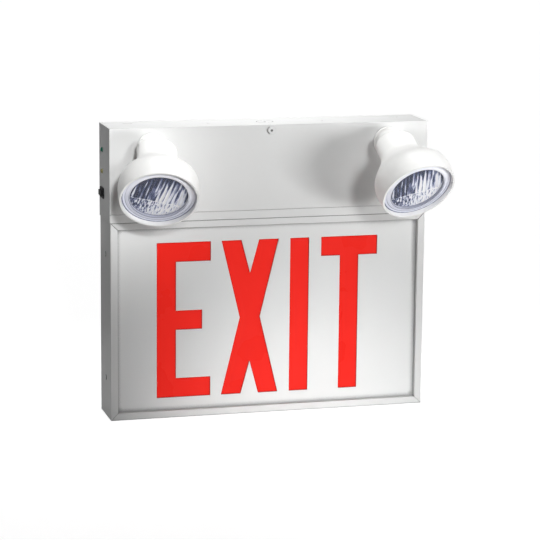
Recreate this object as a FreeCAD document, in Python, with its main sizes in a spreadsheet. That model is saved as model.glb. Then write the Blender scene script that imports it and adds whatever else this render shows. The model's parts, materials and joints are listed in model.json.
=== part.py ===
import FreeCAD, Part

import math
import os
import re

import Sketcher
from FreeCAD import Placement, Rotation, Vector

# Emergency exit light: a steel battery housing with two lamp heads, and a lit exit sign under it.
# Millimetres. X runs along the wall, Y into the wall and Z up. The origin is on the housing's back,
# at the middle of its wall-box holes, so the front of the housing and of the sign faces -Y.

SIZES = {
    # housing and sign as wholes
    "housing_width": 420, "housing_height": 120, "body_depth": 66, "steel": 1.0, "sheet_gap": 0.3,
    "sign_inset": 1, "sign_height": 257,
    # front cover: it hangs on a lip along the housing's bottom and one screw holds its top
    "cover_lip": 10.5, "seam_gap": 0.4, "tongue_length": 7, "tongue_inset": 6,
    "cover_flange": 12, "cover_flange_inset": 16, "screw_tab_width": 30, "screw_tab_height": 15,
    "cover_screw_drop": 7, "cover_screw_radius": 2, "cover_screw_head": 4.8, "cover_screw_rise": 2.2,
    "cover_screw_length": 7, "socket_radius": 1.7, "socket_depth": 1.6, "screw_gap": 0.2,
    # back wall: cable hole, holes for a wall box, and keyholes
    "cable_hole": 11, "box_hole_spacing": 88.9, "box_hole": 2.5, "keyhole_inset": 25,
    "keyhole_rise": 30, "keyhole_head": 5, "keyhole_neck": 2.6, "keyhole_length": 9,
    # top wall: conduit knockout, two pin holes and two slots
    "knockout_depth": 33, "knockout_radius": 11, "knockout_slit": 0.7, "knockout_bridge": 2.4,
    "knockout_pit": 1.6, "top_hole_spacing": 152, "top_hole_depth": 36, "top_hole": 1.7,
    "top_slot_inset": 32, "top_slot_depth": 21, "top_slot_length": 12, "top_slot_width": 2,
    # left wall: two status lights and the test switch, one above the other
    "panel_row_depth": 19, "panel_pitch": 27.6, "led_radius": 3.3, "led_rise": 2.4, "led_length": 8,
    "led_base": 3.9, "led_base_length": 1, "led_gap": 0.1, "holder_radius": 5.2, "holder_length": 5,
    "bezel_depth": 21, "bezel_height": 13, "bezel_rise": 1.5, "switch_depth": 19, "switch_height": 11,
    "switch_floor": 7.8, "latch_rise": 0.6, "latch_length": 3, "button_depth": 14, "button_height": 7,
    "button_stand": 0.4, "button_travel": 2, "button_gap": 0.15, "button_flange": 0.8,
    "button_mouth": 5, "button_flange_length": 1.4,
    # battery, its tabs and its strap
    "battery_inset": 75, "battery_width": 70, "battery_depth": 47, "battery_headroom": 17,
    "terminal_inset": 12, "terminal_width": 6.3, "terminal_thick": 0.8, "terminal_rise": 7,
    "strap_width": 22, "strap_steel": 1.2, "strap_foot": 14, "strap_gap": 0.2, "strap_height": 5,
    "strap_screw": 1.9, "strap_screw_head": 3.6, "strap_screw_rise": 2.2,
    # charger board on four standoffs
    "board_inset": 38, "board_width": 120, "board_headroom": 13, "board_thick": 1.6,
    "standoff_length": 10, "standoff_radius": 3, "standoff_bore": 1.5, "standoff_inset": 6,
    "board_screw_head": 2.8, "board_screw_rise": 1.8, "board_screw_length": 5, "board_screw_gap": 0.1,
    "core_left": 16, "core_width": 44, "core_depth": 32, "core_stack": 20, "core_leg": 7,
    "core_rise": 18, "winding_side": 8, "winding_gap": 0.15, "winding_rise": 7,
    "relay_left": 74, "relay_width": 19, "relay_depth": 15, "relay_height": 15, "relay_rise": 6,
    "capacitor_left": 84, "capacitor_pitch": 15, "capacitor_radius": 6, "capacitor_length": 22,
    "capacitor_rise": -14, "block_left": 20, "block_width": 42, "block_depth": 12,
    "block_height": 10, "block_foot": 12, "block_ways": 6, "way_radius": 1.8, "way_depth": 7,
    # lamp head positions and aim
    "lamp_inset": 54, "lamp_drop": 25.5, "pivot_reach": 32,
    "left_swivel": -12.5, "left_tilt": 39.5, "right_swivel": 13, "right_tilt": 40.5,
    "tilt_least": -5, "tilt_most": 70,
    # swivel base
    "spigot_radius": 10, "spigot_length": 9, "swivel_gap": 0.06, "flange_radius": 19,
    "flange_thick": 4, "skirt_radius": 16, "skirt_top": 9, "skirt_rise": 6, "arm_width": 14,
    "arm_thick": 12, "knuckle_radius": 10, "wire_bore": 3.5, "wire_bore_end": 15,
    "wire_exit": 2.5, "wire_exit_set": 1, "swivel_washer": 14, "washer_thick": 0.6,
    "swivel_nut": 15.5, "nut_thick": 4,
    # lamp shell
    "neck_half_width": 26, "neck_half_height": 18, "flare_start": 13, "bell_length": 22.5,
    "bell_swell": 1.5, "rim_radius": 48.5, "rim_reach": 81.5, "rim_wall": 2.1, "shell_wall": 2.2,
    "seat_depth": 9.5, "ledge_thick": 3, "ledge_width": 2.8,
    "slot_gap": 0.3, "slot_margin": 38, "bolt_radius": 2.5, "bolt_gap": 0.05,
    "bolt_head": 4.3, "bolt_head_thick": 3, "tilt_nut": 4.6, "tilt_nut_thick": 3,
    "pocket_gap": 0.4, "pocket_depth": 8, "cap_thick": 1.5, "cap_inset": 1.2, "press_gap": 0.03,
    # optics
    "mouth_radius": 36.5, "focal_length": 9.25, "mirror_wall": 1.2, "mirror_tube": 9,
    "mirror_tube_length": 8, "optic_gap": 0.2, "lens_thick": 2.5, "lens_crown": 3.5,
    "flute_pitch": 5.2, "flute_radius": 3, "flute_sink": 0.8, "flutes_each_side": 6,
    "socket_length": 15, "socket_reach": 39, "bulb_stem": 3.5, "bulb_stem_length": 7,
    "bulb_radius": 5.5, "bulb_length": 11,
    # sign frame and panel
    "bar_width": 9, "face_recess": 7, "mitre_gap": 0.3, "face_sheet": 1, "red_sheet": 2,
    "panel_gap": 0.5, "panel_play": 0.1, "back_flange": 12, "joint_line": 0.8, "joint_line_depth": 0.6,
    # letters, cut through the panel
    "word_reach": 147.9, "letter_drop": 29, "letter_foot": 24.8, "stroke": 25.4,
    "e_width": 71.1, "e_middle": 60, "x_width": 76.3, "x_arm": 26.5, "x_waist": 27, "x_crotch": 43,
    "t_width": 76.2, "gap_before_x": 14, "gap_before_i": 15.3, "gap_before_t": 16.3,
    # screws in the sign's sides
    "side_screw_depth": 33, "side_screw_top": 45, "side_screw_foot": 50, "side_screw": 1.9,
    "side_screw_head": 3.3, "side_screw_rise": 0.8, "side_screw_length": 5,
    # light bars
    "bar_inset": 39, "bar_depth": 12, "bar_thick": 1.6, "bar_clearance": 5.8, "chip_pitch": 24,
    "chips_each_side": 6, "chip_width": 3.5, "chip_depth": 2.8, "chip_thick": 1,
    "bar_screw_inset": 8, "bar_screw": 1.5, "bar_screw_head": 2.8, "bar_screw_rise": 1.6,
    # joint between housing and sign
    "join_depth": 24, "join_inset": 34, "join_screw": 2, "join_screw_head": 3.8,
    "join_screw_rise": 2.4, "join_screw_length": 7, "join_nut": 4, "join_nut_thick": 3.2,
    "bushing_radius": 8, "bushing_bore": 5.5, "bushing_flange": 10.5, "bushing_flange_thick": 1.5,
    "bushing_length": 5, "bushing_nut": 11, "bushing_nut_thick": 2.8, "bushing_gap": 0.1,
}

document = FreeCAD.newDocument("ExitLight")
sheet = document.addObject("Spreadsheet::Sheet", "Sizes")
for row, (word, number) in enumerate(SIZES.items(), 1):
    sheet.set(f"A{row}", word)
    sheet.set(f"B{row}", str(number))
    sheet.setAlias(f"B{row}", word)
document.recompute()

nodes = []


def size(word):
    """The sheet's number for one named size."""
    return float(sheet.get(word))


def bind(item, property_name, text):
    """Tie a property to an expression in which sizes are written as bare words."""
    full = re.sub(r"[a-z_]+", lambda m: f"Sizes.{m.group()}" if m.group() in SIZES else m.group(), text)
    item.setExpression(property_name, full)


def node(label, item):
    """Keep a finished sub-part under the name that its file will have."""
    item.Label = label
    nodes.append(item)
    return item


def box(name, x, y, z):
    """A box that reaches from a low to a high expression along each axis."""
    solid = document.addObject("Part::Box", name)
    for side, axis, (low, high) in zip(("Length", "Width", "Height"), "xyz", (x, y, z)):
        bind(solid, side, f"({high}) - ({low})")
        bind(solid, f".Placement.Base.{axis}", low)
    return solid


def about(middle, full, spare="0"):
    """A low and a high expression either side of a middle."""
    return (f"{middle} - ({full}) / 2 - ({spare})", f"{middle} + ({full}) / 2 + ({spare})")


AIM = {"x": Rotation(Vector(0, 1, 0), 90), "y": Rotation(Vector(1, 0, 0), -90), "z": Rotation()}


def aim(solid, axis, span, across):
    """Lay a solid of revolution along an axis; across gives its two other coordinates in order."""
    solid.Placement = Placement(Vector(), AIM[axis])
    bind(solid, "Height", f"({span[1]}) - ({span[0]})")
    bind(solid, f".Placement.Base.{axis}", span[0])
    for other, text in zip("xyz".replace(axis, ""), across):
        bind(solid, f".Placement.Base.{other}", text)
    return solid


def rod(name, axis, span, across, radius):
    """A round rod along an axis."""
    solid = document.addObject("Part::Cylinder", name)
    bind(solid, "Radius", radius)
    return aim(solid, axis, span, across)


def cone(name, axis, span, across, first, last):
    """A cone along an axis, from its first to its last radius."""
    solid = document.addObject("Part::Cone", name)
    bind(solid, "Radius1", first)
    bind(solid, "Radius2", last)
    return aim(solid, axis, span, across)


def hexagon(name, axis, span, across, corner):
    """A six-sided bar along an axis, measured to its corners."""
    solid = document.addObject("Part::Prism", name)
    solid.Polygon = 6
    bind(solid, "Circumradius", corner)
    return aim(solid, axis, span, across)


def fuse(name, *solids):
    """Several solids as one."""
    whole = document.addObject("Part::MultiFuse", name)
    whole.Shapes = list(solids)
    whole.Refine = True
    return whole


def cut(name, base, *tools):
    """A solid with others taken out of it."""
    result = document.addObject("Part::Cut", name)
    result.Base = base
    result.Tool = tools[0] if len(tools) == 1 else fuse(name + "_cuts", *tools)
    result.Refine = True
    return result


def common(name, first, second):
    """What two solids share."""
    result = document.addObject("Part::Common", name)
    result.Base = first
    result.Tool = second
    return result


def group(name, *solids):
    """Separate solids that share one node."""
    together = document.addObject("Part::Compound", name)
    together.Links = list(solids)
    return together


def screw(name, axis, seat, away, across, shank, head, rise, length):
    """A pan-head screw: its head stands on seat towards away, and its shank goes the other way."""
    top = (seat, f"({seat}) + {rise}") if away > 0 else (f"({seat}) - {rise}", seat)
    down = (f"({seat}) - ({length})", seat) if away > 0 else (seat, f"({seat}) + {length}")
    return fuse(name, rod(name + "_head", axis, top, across, head),
                rod(name + "_shank", axis, down, across, shank))


def body_with_sketch(name, plane):
    """A part-design body and its first sketch, on one of its origin planes."""
    body = document.addObject("PartDesign::Body", name)
    return body, sketch_on(body, name + "_outline", plane)


def sketch_on(body, name, plane):
    """A sketch on one of a body's own origin planes."""
    sketch = body.newObject("Sketcher::SketchObject", name)
    support = next(part for part in body.Origin.OriginFeatures if part.Role == plane)
    sketch.AttachmentSupport = (support, "")
    sketch.MapMode = "FlatFace"
    return sketch


def polygon(sketch, points):
    """A closed outline of straight lines, each corner tied to two expressions."""
    first = sketch.GeometryCount
    count = len(points)
    turns = [2 * math.pi * number / count for number in range(count)]
    ring = [Vector(math.cos(turn), math.sin(turn)) for turn in turns]
    for number in range(count):
        sketch.addGeometry(Part.LineSegment(ring[number], ring[(number + 1) % count]), False)
    for number in range(count):
        following = first + (number + 1) % count
        sketch.addConstraint(Sketcher.Constraint("Coincident", first + number, 2, following, 1))
    for number, corner in enumerate(points):
        for kind, text in zip(("DistanceX", "DistanceY"), corner):
            place = sketch.addConstraint(Sketcher.Constraint(kind, -1, 1, first + number, 1, 1.0))
            bind(sketch, f"Constraints[{place}]", text)


def rectangle(sketch, left, right, low, high):
    """A closed outline of four sides."""
    polygon(sketch, [(left, low), (right, low), (right, high), (left, high)])


def circle(sketch, across, up, radius):
    """A round outline, its centre and radius tied to expressions."""
    ring = sketch.addGeometry(Part.Circle(Vector(), Vector(0, 0, 1), 1), False)
    for kind, text in (("DistanceX", across), ("DistanceY", up)):
        place = sketch.addConstraint(Sketcher.Constraint(kind, -1, 1, ring, 3, 1.0))
        bind(sketch, f"Constraints[{place}]", text)
    place = sketch.addConstraint(Sketcher.Constraint("Radius", ring, 1.0))
    bind(sketch, f"Constraints[{place}]", radius)


def pad(body, sketch, length):
    """A plate raised from a sketch."""
    feature = body.newObject("PartDesign::Pad", sketch.Name + "_pad")
    feature.Profile = sketch
    bind(feature, "Length", length)


def hole(body, sketch, length):
    """An outline cut out of a plate."""
    feature = body.newObject("PartDesign::Pocket", sketch.Name + "_cut")
    feature.Profile = sketch
    feature.Midplane = True
    bind(feature, "Length", length)


# Planes that several sub-parts share, as expressions.
SIDE = "housing_width / 2"
TOP = "housing_height / 2"
FRONT = "-body_depth"
INNER_SIDE = f"{SIDE} - steel"
INNER_TOP = f"{TOP} - steel"
COVER_BACK = f"{FRONT} + steel"
SIGN_SIDE = f"{SIDE} - sign_inset"
SIGN_INNER_SIDE = f"{SIGN_SIDE} - steel"
SIGN_TOP = "-housing_height / 2"
SIGN_LOW = f"{SIGN_TOP} - sign_height"
JOIN_X = (f"-({SIGN_SIDE} - join_inset)", f"{SIGN_SIDE} - join_inset")


# ---- battery housing -------------------------------------------------------------------------

LED_HEIGHTS = ("panel_pitch", "0")
BATTERY_X = (f"-({SIDE}) + battery_inset", f"-({SIDE}) + battery_inset + battery_width")
STRAP_SCREWS = {"left": f"{BATTERY_X[0]} - strap_gap - strap_steel - strap_foot / 2",
                "right": f"{BATTERY_X[1]} + strap_gap + strap_steel + strap_foot / 2"}
LAMP_X = f"({SIDE} - lamp_inset)"
LAMP_Z = f"{TOP} - lamp_drop"


def knockout_cuts():
    """The broken ring slit of the conduit knockout, and the pit in the middle of its disc."""
    through = (f"{INNER_TOP} - 1", f"{TOP} + 1")
    centre = ("0", "-knockout_depth")
    ring = cut("knockout_ring", rod("knockout_outer", "z", through, centre, "knockout_radius"),
               rod("knockout_disc", "z", through, centre, "knockout_radius - knockout_slit"),
               box("knockout_bridges", ("-knockout_bridge / 2", "knockout_bridge / 2"),
                   ("-knockout_depth - knockout_radius", "-knockout_depth + knockout_radius"), through))
    pit = rod("knockout_middle", "z", (f"{TOP} - steel / 2", f"{TOP} + 1"), centre, "knockout_pit")
    return [ring, pit]


def top_wall_cuts():
    """Pin holes and slots through the housing's top wall."""
    through = (f"{INNER_TOP} - 1", f"{TOP} + 1")
    cuts = knockout_cuts()
    for side, sign in (("left", "-"), ("right", "")):
        cuts.append(rod(f"top_hole_{side}", "z", through,
                        (f"{sign}top_hole_spacing / 2", "-top_hole_depth"), "top_hole"))
        middle = f"{sign}({SIDE} - top_slot_inset)"
        cuts.append(box(f"top_slot_{side}",
                        (f"{middle} - top_slot_length / 2", f"{middle} + top_slot_length / 2"),
                        ("-top_slot_depth - top_slot_width / 2", "-top_slot_depth + top_slot_width / 2"),
                        through))
    return cuts


def back_wall_cuts():
    """The cable hole, the wall-box holes and the keyholes."""
    through = ("-steel - 1", "1")
    cuts = [rod("cable_way", "y", through, ("0", "0"), "cable_hole")]
    for side, sign in (("left", "-"), ("right", "")):
        cuts.append(rod(f"box_hole_{side}", "y", through, (f"{sign}box_hole_spacing / 2", "0"),
                        "box_hole"))
        middle = f"{sign}({SIDE} - keyhole_inset)"
        cuts.append(rod(f"keyhole_head_{side}", "y", through, (middle, "keyhole_rise"), "keyhole_head"))
        cuts.append(box(f"keyhole_slot_{side}", (f"{middle} - keyhole_neck", f"{middle} + keyhole_neck"),
                        through, ("keyhole_rise", "keyhole_rise + keyhole_length")))
        cuts.append(rod(f"keyhole_end_{side}", "y", through,
                        (middle, "keyhole_rise + keyhole_length"), "keyhole_neck"))
        cuts.append(rod(f"strap_hole_{side}", "y", through, (STRAP_SCREWS[side], "strap_height"),
                        "strap_screw + screw_gap"))
    return cuts


def left_wall_cuts():
    """Holes for the two status lights and the test switch."""
    through = (f"-{SIDE} - 1", f"-{SIDE} + steel + 1")
    lights = [rod(f"led_hole_{number}", "x", through, ("-panel_row_depth", height),
                  "led_radius + led_gap") for number, height in enumerate(LED_HEIGHTS)]
    switch = box("switch_opening", through,
                 ("-panel_row_depth - switch_depth / 2 - screw_gap",
                  "-panel_row_depth + switch_depth / 2 + screw_gap"),
                 ("-panel_pitch - switch_height / 2 - screw_gap",
                  "-panel_pitch + switch_height / 2 + screw_gap"))
    return lights + [switch]


def join_cuts(tag):
    """Holes for the lead bushing and the screws that carry the sign, through both sheets."""
    through = (f"{SIGN_TOP} - steel - 1", f"{SIGN_TOP} + steel + 1")
    cuts = [rod(f"{tag}_bushing_way", "z", through, ("0", "-join_depth"), "bushing_radius + bushing_gap")]
    for number, x in enumerate(JOIN_X):
        cuts.append(rod(f"{tag}_join_hole_{number}", "z", through, (x, "-join_depth"),
                        "join_screw + screw_gap"))
    return cuts


def back_plate():
    """The flat back, welded inside the folded walls."""
    plate = box("back_sheet", (f"-({INNER_SIDE})", INNER_SIDE), ("-steel", "0"),
                (f"-({INNER_TOP})", INNER_TOP))
    node("back_plate", cut("back_plate", plate, *back_wall_cuts()))


def back_box():
    """The folded wrap: four walls, the lip under the cover, and the tab behind its screw."""
    block = box("pan_block", (f"-({SIDE})", SIDE), (COVER_BACK, "0"), (f"-({TOP})", TOP))
    inside = box("pan_inside", (f"-({INNER_SIDE})", INNER_SIDE), (f"{COVER_BACK} - 1", "1"),
                 (f"-({INNER_TOP})", INNER_TOP))
    walls = cut("pan_walls", block, inside)
    lip = box("pan_lip", (f"-({SIDE})", SIDE), (FRONT, COVER_BACK), (f"-({TOP})", f"-({TOP}) + cover_lip"))
    tab = box("pan_tab", ("-screw_tab_width / 2", "screw_tab_width / 2"),
              (f"{COVER_BACK}", f"{COVER_BACK} + steel"), (f"{TOP} - screw_tab_height", TOP))
    tab_hole = rod("pan_tab_hole", "y", (f"{COVER_BACK} - 1", f"{COVER_BACK} + steel + 1"),
                   ("0", f"{TOP} - cover_screw_drop"), "cover_screw_radius + press_gap")
    folded = fuse("pan_folded", walls, lip, tab)
    cuts = top_wall_cuts() + left_wall_cuts() + join_cuts("pan")
    node("back_box", cut("back_box", folded, tab_hole, *cuts))


def front_cover():
    """The cover plate, with a stepped tongue behind the lip and a flange inside each end."""
    plate_low = f"-({TOP}) + cover_lip + seam_gap"
    body, outline = body_with_sketch("cover_plate", "XZ_Plane")
    rectangle(outline, f"-({SIDE})", SIDE, plate_low, TOP)
    pad(body, outline, "steel")
    holes = sketch_on(body, "cover_holes", "XZ_Plane")
    circle(holes, "0", f"{TOP} - cover_screw_drop", "cover_screw_radius + screw_gap")
    for sign in ("-", ""):
        circle(holes, f"{sign}{LAMP_X}", LAMP_Z, "spigot_radius + swivel_gap")
    hole(body, holes, "4 * steel")
    bind(body, ".Placement.Base.y", COVER_BACK)
    reach = f"{SIDE} - steel - sheet_gap"
    tongue = box("cover_tongue", (f"-({SIDE} - tongue_inset)", f"{SIDE} - tongue_inset"),
                 (f"{COVER_BACK} + sheet_gap", f"{COVER_BACK} + sheet_gap + steel"),
                 (f"{plate_low} - tongue_length", f"{plate_low} + 3 * steel"))
    step = box("cover_step", (f"-({SIDE} - tongue_inset)", f"{SIDE} - tongue_inset"),
               (FRONT, f"{COVER_BACK} + sheet_gap + steel"), (plate_low, f"{plate_low} + 3 * steel"))
    flanges = [box(f"cover_flange_{number}", span, (FRONT, f"{COVER_BACK} + cover_flange"),
                   (f"{plate_low} + cover_flange_inset", f"{TOP} - cover_flange_inset"))
               for number, span in enumerate(((f"-({reach})", f"-({reach}) + steel"),
                                              (f"{reach} - steel", reach)))]
    node("front_cover", fuse("front_cover", body, tongue, step, *flanges))


def cover_screw():
    """The screw at the top of the cover, with a hexagonal socket."""
    centre = ("0", f"{TOP} - cover_screw_drop")
    blank = screw("cover_screw_blank", "y", FRONT, -1, centre, "cover_screw_radius",
                  "cover_screw_head", "cover_screw_rise", "cover_screw_length")
    socket = hexagon("cover_screw_socket", "y",
                     (f"{FRONT} - cover_screw_rise - 1", f"{FRONT} - cover_screw_rise + socket_depth"),
                     centre, "socket_radius")
    node("cover_screw", cut("cover_screw", blank, socket))


# ---- status lights and test switch, in the left wall --------------------------------------------

def status_lights():
    """Two lights with round noses through the wall, each in a ring behind it."""
    wall_in = f"-({INNER_SIDE})"
    rings = []
    nose_x = f"-({SIDE}) - led_rise + led_radius"
    for colour, height in zip(("green", "amber"), LED_HEIGHTS):
        centre = ("-panel_row_depth", height)
        stem = rod(f"led_{colour}_stem", "x", (nose_x, f"{wall_in} + led_length"), centre, "led_radius")
        nose = document.addObject("Part::Sphere", f"led_{colour}_nose")
        bind(nose, "Radius", "led_radius")
        bind(nose, ".Placement.Base.x", nose_x)
        bind(nose, ".Placement.Base.y", centre[0])
        bind(nose, ".Placement.Base.z", centre[1])
        base = rod(f"led_{colour}_base", "x",
                   (f"{wall_in} + led_length - led_base_length", f"{wall_in} + led_length"),
                   centre, "led_base")
        node(f"status_light_{colour}", fuse(f"status_light_{colour}", stem, nose, base))
        outer = rod(f"light_ring_{colour}_outer", "x", (wall_in, f"{wall_in} + holder_length"),
                    centre, "holder_radius")
        bore = rod(f"light_ring_{colour}_bore", "x",
                   (f"{wall_in} - 1", f"{wall_in} + holder_length + 1"), centre, "led_radius + press_gap")
        rings.append(cut(f"light_ring_{colour}", outer, bore))
    node("light_rings", group("light_rings", *rings))


def test_switch():
    """The switch body, its bezel outside the wall, and the push button that it guides."""
    wall_out = f"-({SIDE})"
    mouth_end = f"{wall_out} - bezel_rise + button_mouth"
    stop = f"{mouth_end} + button_gap"
    room_end = f"{stop} + button_flange_length + button_travel + button_gap"
    depth, height = "-panel_row_depth", "-panel_pitch"
    bezel = box("switch_bezel", (f"{wall_out} - bezel_rise", wall_out), about(depth, "bezel_depth"),
                about(height, "bezel_height"))
    case = box("switch_case", (wall_out, f"{room_end} + switch_floor"), about(depth, "switch_depth"),
               about(height, "switch_height"))
    latch = box("switch_latch", (f"{wall_out} + steel + press_gap", f"{wall_out} + steel + latch_length"),
                about(depth, "switch_depth / 2"), about(height, "switch_height", "latch_rise"))
    mouth = box("switch_mouth", (f"{wall_out} - bezel_rise - 1", mouth_end),
                about(depth, "button_depth", "button_gap"), about(height, "button_height", "button_gap"))
    room = box("switch_room", (mouth_end, room_end),
               about(depth, "button_depth", "button_flange + button_gap"),
               about(height, "button_height", "button_flange + button_gap"))
    whole = fuse("switch_whole", bezel, case, latch)
    node("test_switch_body", cut("test_switch_body", whole, mouth, room))
    cap = box("button_cap", (f"{wall_out} - bezel_rise - button_travel - button_stand", stop),
              about(depth, "button_depth"), about(height, "button_height"))
    flange = box("button_shoulder", (stop, f"{stop} + button_flange_length"),
                 about(depth, "button_depth", "button_flange"),
                 about(height, "button_height", "button_flange"))
    node("test_button", fuse("test_button", cap, flange))


# ---- battery and charger ------------------------------------------------------------------------

FLOOR = f"-({TOP}) + steel"
BACK = "-steel"
BATTERY_FRONT = f"{BACK} - battery_depth"
BATTERY_TOP = f"{INNER_TOP} - battery_headroom"


def battery():
    """The sealed battery, its two tabs and the strap that holds it to the back wall."""
    node("battery", box("battery", BATTERY_X, (BATTERY_FRONT, BACK), (FLOOR, BATTERY_TOP)))
    tabs = []
    for name, x in (("minus", f"{BATTERY_X[0]} + terminal_inset"),
                    ("plus", f"{BATTERY_X[1]} - terminal_inset")):
        tabs.append(box(f"terminal_{name}", about(x, "terminal_width"),
                        about(f"{BACK} - battery_depth / 2", "terminal_thick"),
                        (BATTERY_TOP, f"{BATTERY_TOP} + terminal_rise")))
    node("battery_terminals", group("battery_terminals", *tabs))
    band = about("strap_height", "strap_width")
    outer = (f"{BATTERY_X[0]} - strap_gap - strap_steel", f"{BATTERY_X[1]} + strap_gap + strap_steel")
    inner = (f"{BATTERY_X[0]} - strap_gap", f"{BATTERY_X[1]} + strap_gap")
    front = f"{BATTERY_FRONT} - strap_gap"
    hoop = box("strap_hoop", outer, (f"{front} - strap_steel", BACK), band)
    feet = box("strap_feet", (f"{outer[0]} - strap_foot", f"{outer[1]} + strap_foot"),
               (f"{BACK} - strap_steel", BACK), band)
    room = box("strap_room", inner, (front, "0"), about("strap_height", "strap_width", "1"))
    holes = [rod(f"strap_foot_hole_{side}", "y", (f"{BACK} - strap_steel - 1", "0"), (x, "strap_height"),
                 "strap_screw + screw_gap") for side, x in STRAP_SCREWS.items()]
    node("battery_strap", cut("battery_strap", fuse("strap_folded", hoop, feet), room, *holes))
    screws = [screw(f"strap_screw_{side}", "y", f"{BACK} - strap_steel", -1, (x, "strap_height"),
                    "strap_screw", "strap_screw_head", "strap_screw_rise", "strap_steel + steel")
              for side, x in STRAP_SCREWS.items()]
    node("strap_screws", group("strap_screws", *screws))


BOARD_X = (f"{SIDE} - board_inset - board_width", f"{SIDE} - board_inset")
BOARD_TOP = f"({INNER_TOP} - board_headroom)"
BOARD_BACK = f"{BACK} - standoff_length"
BOARD_FRONT = f"{BOARD_BACK} - board_thick"


def charger_board():
    """The circuit board, its four standoffs and its four screws."""
    corners = [(x, z) for x in (f"{BOARD_X[0]} + standoff_inset", f"{BOARD_X[1]} - standoff_inset")
               for z in (f"-{BOARD_TOP} + standoff_inset", f"{BOARD_TOP} - standoff_inset")]
    plate = box("board_plate", BOARD_X, (BOARD_FRONT, BOARD_BACK), (f"-{BOARD_TOP}", BOARD_TOP))
    holes = [rod(f"board_hole_{number}", "y", (f"{BOARD_FRONT} - 1", f"{BOARD_BACK} + 1"), corner,
                 "standoff_bore + board_screw_gap") for number, corner in enumerate(corners)]
    node("charger_board", cut("charger_board", plate, *holes))
    posts = []
    screws = []
    for number, corner in enumerate(corners):
        post = rod(f"standoff_{number}_post", "y", (BOARD_BACK, BACK), corner, "standoff_radius")
        bore = rod(f"standoff_{number}_bore", "y", (f"{BOARD_BACK} - 1", f"{BACK} - 1"), corner,
                   "standoff_bore + press_gap")
        posts.append(cut(f"standoff_{number}", post, bore))
        screws.append(screw(f"board_screw_{number}", "y", BOARD_FRONT, -1, corner, "standoff_bore",
                            "board_screw_head", "board_screw_rise", "board_thick + board_screw_length"))
    node("board_standoffs", group("board_standoffs", *posts))
    node("board_screws", group("board_screws", *screws))


def transformer():
    """A laminated core with two windows, and the winding on its middle leg."""
    middle = f"{BOARD_X[0]} + core_left + core_width / 2"
    span_y = (f"{BOARD_FRONT} - core_depth", BOARD_FRONT)
    leg_y = (f"{BOARD_FRONT} - core_depth + core_leg", f"{BOARD_FRONT} - core_leg")
    stack = about("core_rise", "core_stack")
    through = about("core_rise", "core_stack", "1")
    block = box("core_block", about(middle, "core_width"), span_y, stack)
    windows = [box("core_window_left", (f"{middle} - core_leg - winding_side", f"{middle} - core_leg"),
                   leg_y, through),
               box("core_window_right", (f"{middle} + core_leg", f"{middle} + core_leg + winding_side"),
                   leg_y, through)]
    node("transformer_core", cut("transformer_core", block, *windows))
    wound = box("winding_block", about(middle, "2 * core_leg + 2 * winding_side", "-winding_gap"),
                (f"{leg_y[0]} + winding_gap", f"{leg_y[1]} - winding_gap"),
                about("core_rise", "core_stack", "winding_rise"))
    leg = box("winding_leg", about(middle, "2 * core_leg", "winding_gap"), span_y,
              about("core_rise", "core_stack", "winding_gap"))
    node("transformer_winding", cut("transformer_winding", wound, leg))


def board_components():
    """The relay, two capacitors and the screw-terminal block, all standing on the board."""
    relay_x = (f"{BOARD_X[0]} + relay_left", f"{BOARD_X[0]} + relay_left + relay_width")
    node("relay", box("relay", relay_x, (f"{BOARD_FRONT} - relay_depth", BOARD_FRONT),
                      ("relay_rise", "relay_rise + relay_height")))
    cans = [rod(f"capacitor_{number}", "y", (f"{BOARD_FRONT} - capacitor_length", BOARD_FRONT),
                (f"{BOARD_X[0]} + capacitor_left + {number} * capacitor_pitch", "capacitor_rise"),
                "capacitor_radius") for number in range(2)]
    node("capacitors", group("capacitors", *cans))
    block_x = (f"{BOARD_X[0]} + block_left", f"{BOARD_X[0]} + block_left + block_width")
    block_low = f"-{BOARD_TOP} + block_foot"
    block = box("block_case", block_x, (f"{BOARD_FRONT} - block_depth", BOARD_FRONT),
                (block_low, f"{block_low} + block_height"))
    ways = [rod(f"block_way_{number}", "y",
                (f"{BOARD_FRONT} - block_depth - 1", f"{BOARD_FRONT} - block_depth + way_depth"),
                (f"{block_x[0]} + block_width * {number + 0.5} / block_ways",
                 f"{block_low} + block_height / 2"), "way_radius")
            for number in range(int(size("block_ways")))]
    node("terminal_block", cut("terminal_block", block, *ways))


# ---- lamp heads: modelled about the tilt pivot, facing -Y, then turned to their aim ------------------

BELL = "(rim_radius + bell_swell)"
FLARE_END = "(rim_reach - bell_length)"
LEDGE = "(rim_reach - seat_depth)"
LEDGE_BACK = f"{LEDGE} - ledge_thick"
SEAT = "(rim_radius - rim_wall)"
POCKET = "(tilt_nut + pocket_gap)"
POCKET_FLOOR = "(neck_half_width - pocket_depth)"
CAP_REACH = "(neck_half_width - cap_inset)"


def oval(name, half_width, half_height, station):
    """An oval across the lamp axis, a distance in front of the pivot."""
    ring = document.addObject("Part::Ellipse", name)
    bind(ring, "MajorRadius", half_width)
    bind(ring, "MinorRadius", half_height)
    ring.Placement = Placement(Vector(), Rotation(Vector(1, 0, 0), 90))
    bind(ring, ".Placement.Base.y", f"-({station})")
    return ring


def bell(name, inset, ending):
    """A loft that swells from the oval neck to the round bell; inset moves its surface inwards."""
    sections = []
    steps = 7
    for number in range(steps):
        part_way = number / (steps - 1)
        swell = round(part_way * part_way * (3 - 2 * part_way), 4)
        sections.append(oval(f"{name}_{number}",
                             f"neck_half_width + ({BELL} - neck_half_width) * {swell} - {inset}",
                             f"neck_half_height + ({BELL} - neck_half_height) * {swell} - {inset}",
                             f"flare_start + ({FLARE_END} - flare_start) * {round(part_way, 4)}"))
    for number, (radius, station) in enumerate(ending, steps):
        sections.append(oval(f"{name}_{number}", f"{radius} - {inset}", f"{radius} - {inset}", station))
    loft = document.addObject("Part::Loft", name)
    loft.Sections = sections
    loft.Solid = True
    return loft


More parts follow.
